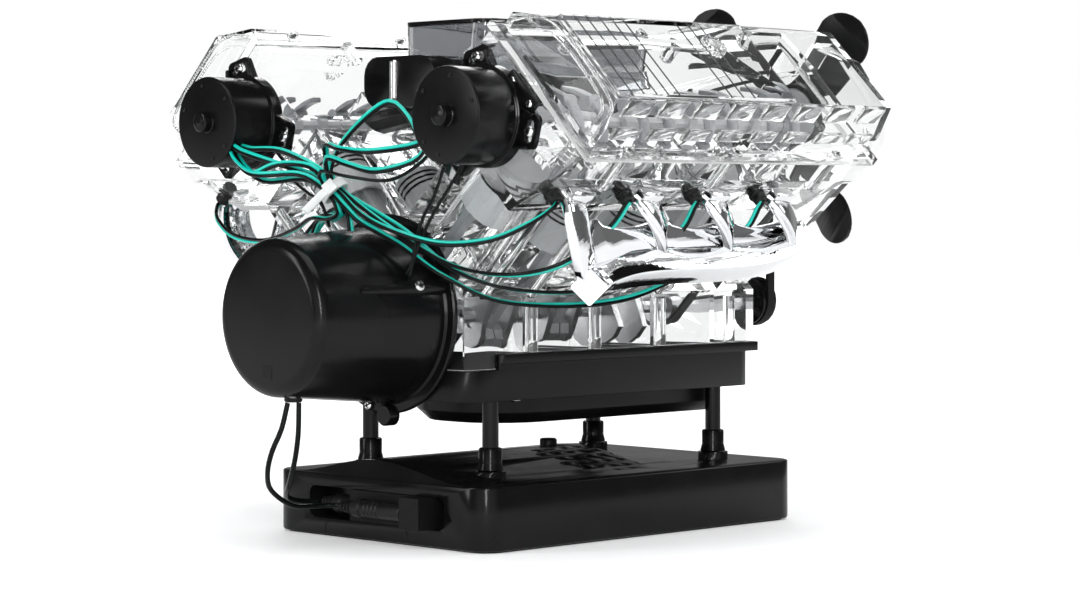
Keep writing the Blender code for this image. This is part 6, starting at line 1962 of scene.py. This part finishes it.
@dataclass
class Breathing:
    """The intake, the throttle body with its pin and the smoke-grey air box."""

    box_rear: float = -0.065
    box_front: float = 0.050
    box_half: float = 0.028
    box_top: float = 0.241
    corner: float = 0.008
    rim: float = 0.0026
    rim_thick: float = 0.0016
    rim_spread: Point = (1.002, 1.004, 1, 1)
    pin_place: Point = (-0.092, 0.0030, 0)
    pin_profile: tuple = (
        (0, 0.2035), (0.00176, 0.2035), (0.0022, 0.2041), (0.0022, 0.2209), (0.00176, 0.2215), (0, 0.2215),
    )

    def build(self, frame: dict) -> None:
        """Dresses the intake and the air box.
        """
        refined(frame, "intake_manifold", "intake_body", BLACK, soften=0.0008)
        refined(frame, "air_box", "smoke_air_box", SMOKE, soften=0.0006)
        self.rim_plate()
        self.pin()

    def rim_plate(self) -> None:
        """The black rim round the top of the air box."""
        outlines = [rounded((self.box_rear + d, -self.box_half + d), (self.box_front - d, self.box_half - d),
                            self.corner - d) for d in (0.0, self.rim)]
        solid = bmesh.new()
        edges = closed_loops(solid, outlines, self.box_top - self.rim_thick)
        bmesh.ops.bridge_loops(solid, edges=edges)
        raised(solid, self.rim_thick)
        shape = Shape().gather(solid, Matrix.Diagonal(self.rim_spread))
        shape.piece("air_box_rim", (BLACK,), Slot.BLACK_GLOSS)

    def pin(self) -> None:
        """The bright upright pin on the throttle body's rear face."""
        shape = Shape().turned(self.pin_profile, Matrix.Translation(self.pin_place), 24)
        shape.piece("throttle_pin", (SCREW,), Slot.STEEL)


@dataclass
class Exhausts:
    """The plated manifolds: a square pipe on its edge along each bank and four flat runners up to the head.

    Every route is the near side's. The far side mirrors it.
    """

    pipe_half: float = 0.00608106
    corner: float = 0.0011
    pipe_step: float = 0.0030
    route: tuple = (
        (-0.0830, -0.1135, 0.1190), (-0.0760, -0.1075, 0.1200), (-0.0660, -0.1060, 0.1225),
        (-0.0520, -0.1080, 0.1258), (-0.0300, -0.1100, 0.1272), (0.0000, -0.1100, 0.1275),
        (0.0300, -0.1100, 0.1290), (0.0520, -0.1085, 0.1330), (0.0700, -0.1065, 0.1400),
    )
    port_first: float = -0.0915
    port_step: float = 0.045
    port_width: float = 0.013
    port_height: float = 0.010
    port_thick: float = 0.006
    port_edge: float = 0.0010
    flange_up: float = 0.1175
    flange_out: float = 0.0402
    runner_width: float = 0.0124
    runner_thick: float = 0.0050
    runner_edge: float = 0.0013
    runner_step: float = 0.0022
    runner_route: tuple = (
        (-0.0030, -0.1106, 0.1590), (-0.0024, -0.1142, 0.1572), (0.0004, -0.1160, 0.1530),
        (0.0052, -0.1154, 0.1482), (0.0108, -0.1128, 0.1430), (0.0160, -0.1085, 0.1378),
    )
    first_width: float = 0.0150
    first_route: tuple = (
        (-0.0030, -0.1106, 0.1590), (-0.0034, -0.1150, 0.1560), (-0.0026, -0.1168, 0.1470),
        (0.0006, -0.1162, 0.1372), (0.0060, -0.1132, 0.1296), (0.0128, -0.1086, 0.1262),
    )
    web_near: float = 0.1096
    web_inner: float = 0.1046
    web_foot: tuple = ((0.0100, 0.1275), (0.0270, 0.1305), (0.0400, 0.1340))
    web_low: float = 0.1345
    web_top: tuple = ((0.0170, 0.1492), (0.0215, 0.1464), (0.0290, 0.1450), (0.0390, 0.1450), (0.0470, 0.1460))
    web_edge: float = 0.0012
    last_end: float = 0.0265
    last_tops: int = 3

    def build(self) -> None:
        """Makes the manifolds."""
        for bank in BANKS:
            self.manifold(bank)

    def manifold(self, bank: Bank) -> None:
        """One bank's manifold.

        Args:
            bank: The bank.
        """
        shape = Shape()
        side = bank.side.value
        line = smooth_route([(x, -side * y, z) for x, y, z in self.route], self.pipe_step)
        half = self.pipe_half
        square = rounded((-half, -half), (half, half), self.corner, 3)
        pipe = [Matrix.Rotation(math.pi / 4, 2) @ Vector(p) for p in square]
        shape.sweep(pipe, frames_along(line))
        inner, outer = sorted((side * self.flange_out, side * (self.flange_out + self.port_thick)))
        for i in range(BANK_CYLINDERS):
            x = self.port_first + self.port_step * i
            shape.block((x - self.port_width / 2, inner, self.flange_up - self.port_height / 2),
                        (x + self.port_width / 2, outer, self.flange_up + self.port_height / 2), bank.frame(),
                        self.port_edge)
            route, wide = (self.runner_route, self.runner_width) if i else (self.first_route, self.first_width)
            points = smooth_route([(x + dx, -side * y, z) for dx, y, z in route], self.runner_step)
            low, high = (-wide / 2, -self.runner_thick / 2), (wide / 2, self.runner_thick / 2)
            shape.sweep(rounded(low, high, self.runner_edge, 3), frames_along(points, (0, side, 0)))
        self.web(shape, side)
        shape.piece(f"plated_manifold_{bank.side.word}", (PLATED,), Slot.CHROME,
                    (f"exhaust_{bank.side.word}",), crisp=30.0)

    def web(self, shape: Shape, side: int) -> None:
        """The plate that joins the runners' feet above the pipe, with a notch between two runners.

        Args:
            shape: The manifold's shape.
            side: The bank's sign along Y.
        """
        upright = Matrix(((1, 0, 0, 0), (0, 0, -1, 0), (0, 1, 0, 0), (0, 0, 0, 1)))
        low, high = sorted((-side * self.web_near, -side * self.web_inner))
        last = self.port_first + self.port_step * (BANK_CYLINDERS - 1) + self.last_end
        outline = [(self.port_first + dx, z) for dx, z in self.web_foot] + [(last, self.web_low)]
        tops = self.web_top[:self.last_tops]
        for i in reversed(range(BANK_CYLINDERS)):
            x = self.port_first + self.port_step * i
            outline += [(min(x + dx, last), z) for dx, z in reversed(tops)]
            tops = self.web_top
        shape.prism(outline, low, high, upright, self.web_edge)


@dataclass
class InnerWorks:
    """The crankshaft, rods, pistons, camshafts, gears and the motor."""

    ring_drops: tuple[float, ...] = (0.0030, 0.0058, 0.0086)
    ring_depth: float = 0.0008
    ring_proud: float = 0.00018
    ring_half: float = 0.0005
    piston_radius: float = 0.0140
    mid_top: float = 0.088
    throw: float = 0.009
    first_x: float = -0.077
    step: float = 0.043
    offset: float = 0.004
    steel_nodes: tuple[str, ...] = ("crankshaft", "motor", "web_dowel_outer", "web_dowel_inner")
    grey_nodes: tuple[str, ...] = ("flywheel_gear", "motor_pinion", "camshaft_near", "camshaft_far")

    def build(self, frame: dict) -> None:
        """Dresses what moves inside the clear shells.
        """
        for node in self.steel_nodes:
            dress(frame, node, STEEL)
        for node in self.grey_nodes:
            dress(frame, node, PALE)
        for bank in BANKS:
            for i in range(BANK_CYLINDERS):
                dress(frame, f"rod_{bank.side.word}_{i + 1}", GREY)
                dress(frame, f"piston_{bank.side.word}_{i + 1}", PALE)
                self.rings(bank, i)

    def rings(self, bank: Bank, index: int) -> None:
        """The dark rings near a piston's crown.

        Args:
            bank: The piston's bank.
            index: Its number along the bank.
        """
        group = "outer" if index in (0, BANK_CYLINDERS - 1) else "inner"
        pin = math.radians(90.0 if group == "outer" else -90.0)
        side = bank.side.value
        lean = math.pi / 2 - side * bank.lean
        top = self.mid_top + self.throw * math.cos(pin - lean)
        x = self.first_x + self.step * index + side * self.offset
        place = bank.frame() @ Matrix.Translation((x, 0, 0))
        inner, outer = self.piston_radius - self.ring_depth, self.piston_radius + self.ring_proud
        shape = Shape()
        for drop in self.ring_drops:
            low, high = top - drop - self.ring_half, top - drop + self.ring_half
            shape.turned([(inner, low), (outer, low), (outer, high), (inner, high)], place, 32)
        body = f"pistons_{bank.side.word}_{group}"
        shape.piece(f"piston_rings_{bank.side.word}_{index + 1}", (MATT,), Slot.BLACK_GLOSS, body=body)


def main() -> None:
    """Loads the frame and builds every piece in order."""
    logging.basicConfig(level=logging.INFO, format="%(message)s")
    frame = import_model()
    PhotoCamera().build()
    MotorLeads().build()
    SparkWiring().build()
    Studio().build()
    Stand().build(frame)
    LowerEngine().build(frame)
    TopEnd().build(frame)
    FrontEnd().build(frame)
    MotorCover().build()
    Distributors().build()
    Breathing().build(frame)
    Exhausts().build()
    InnerWorks().build(frame)


if __name__ == "__main__":
    main()
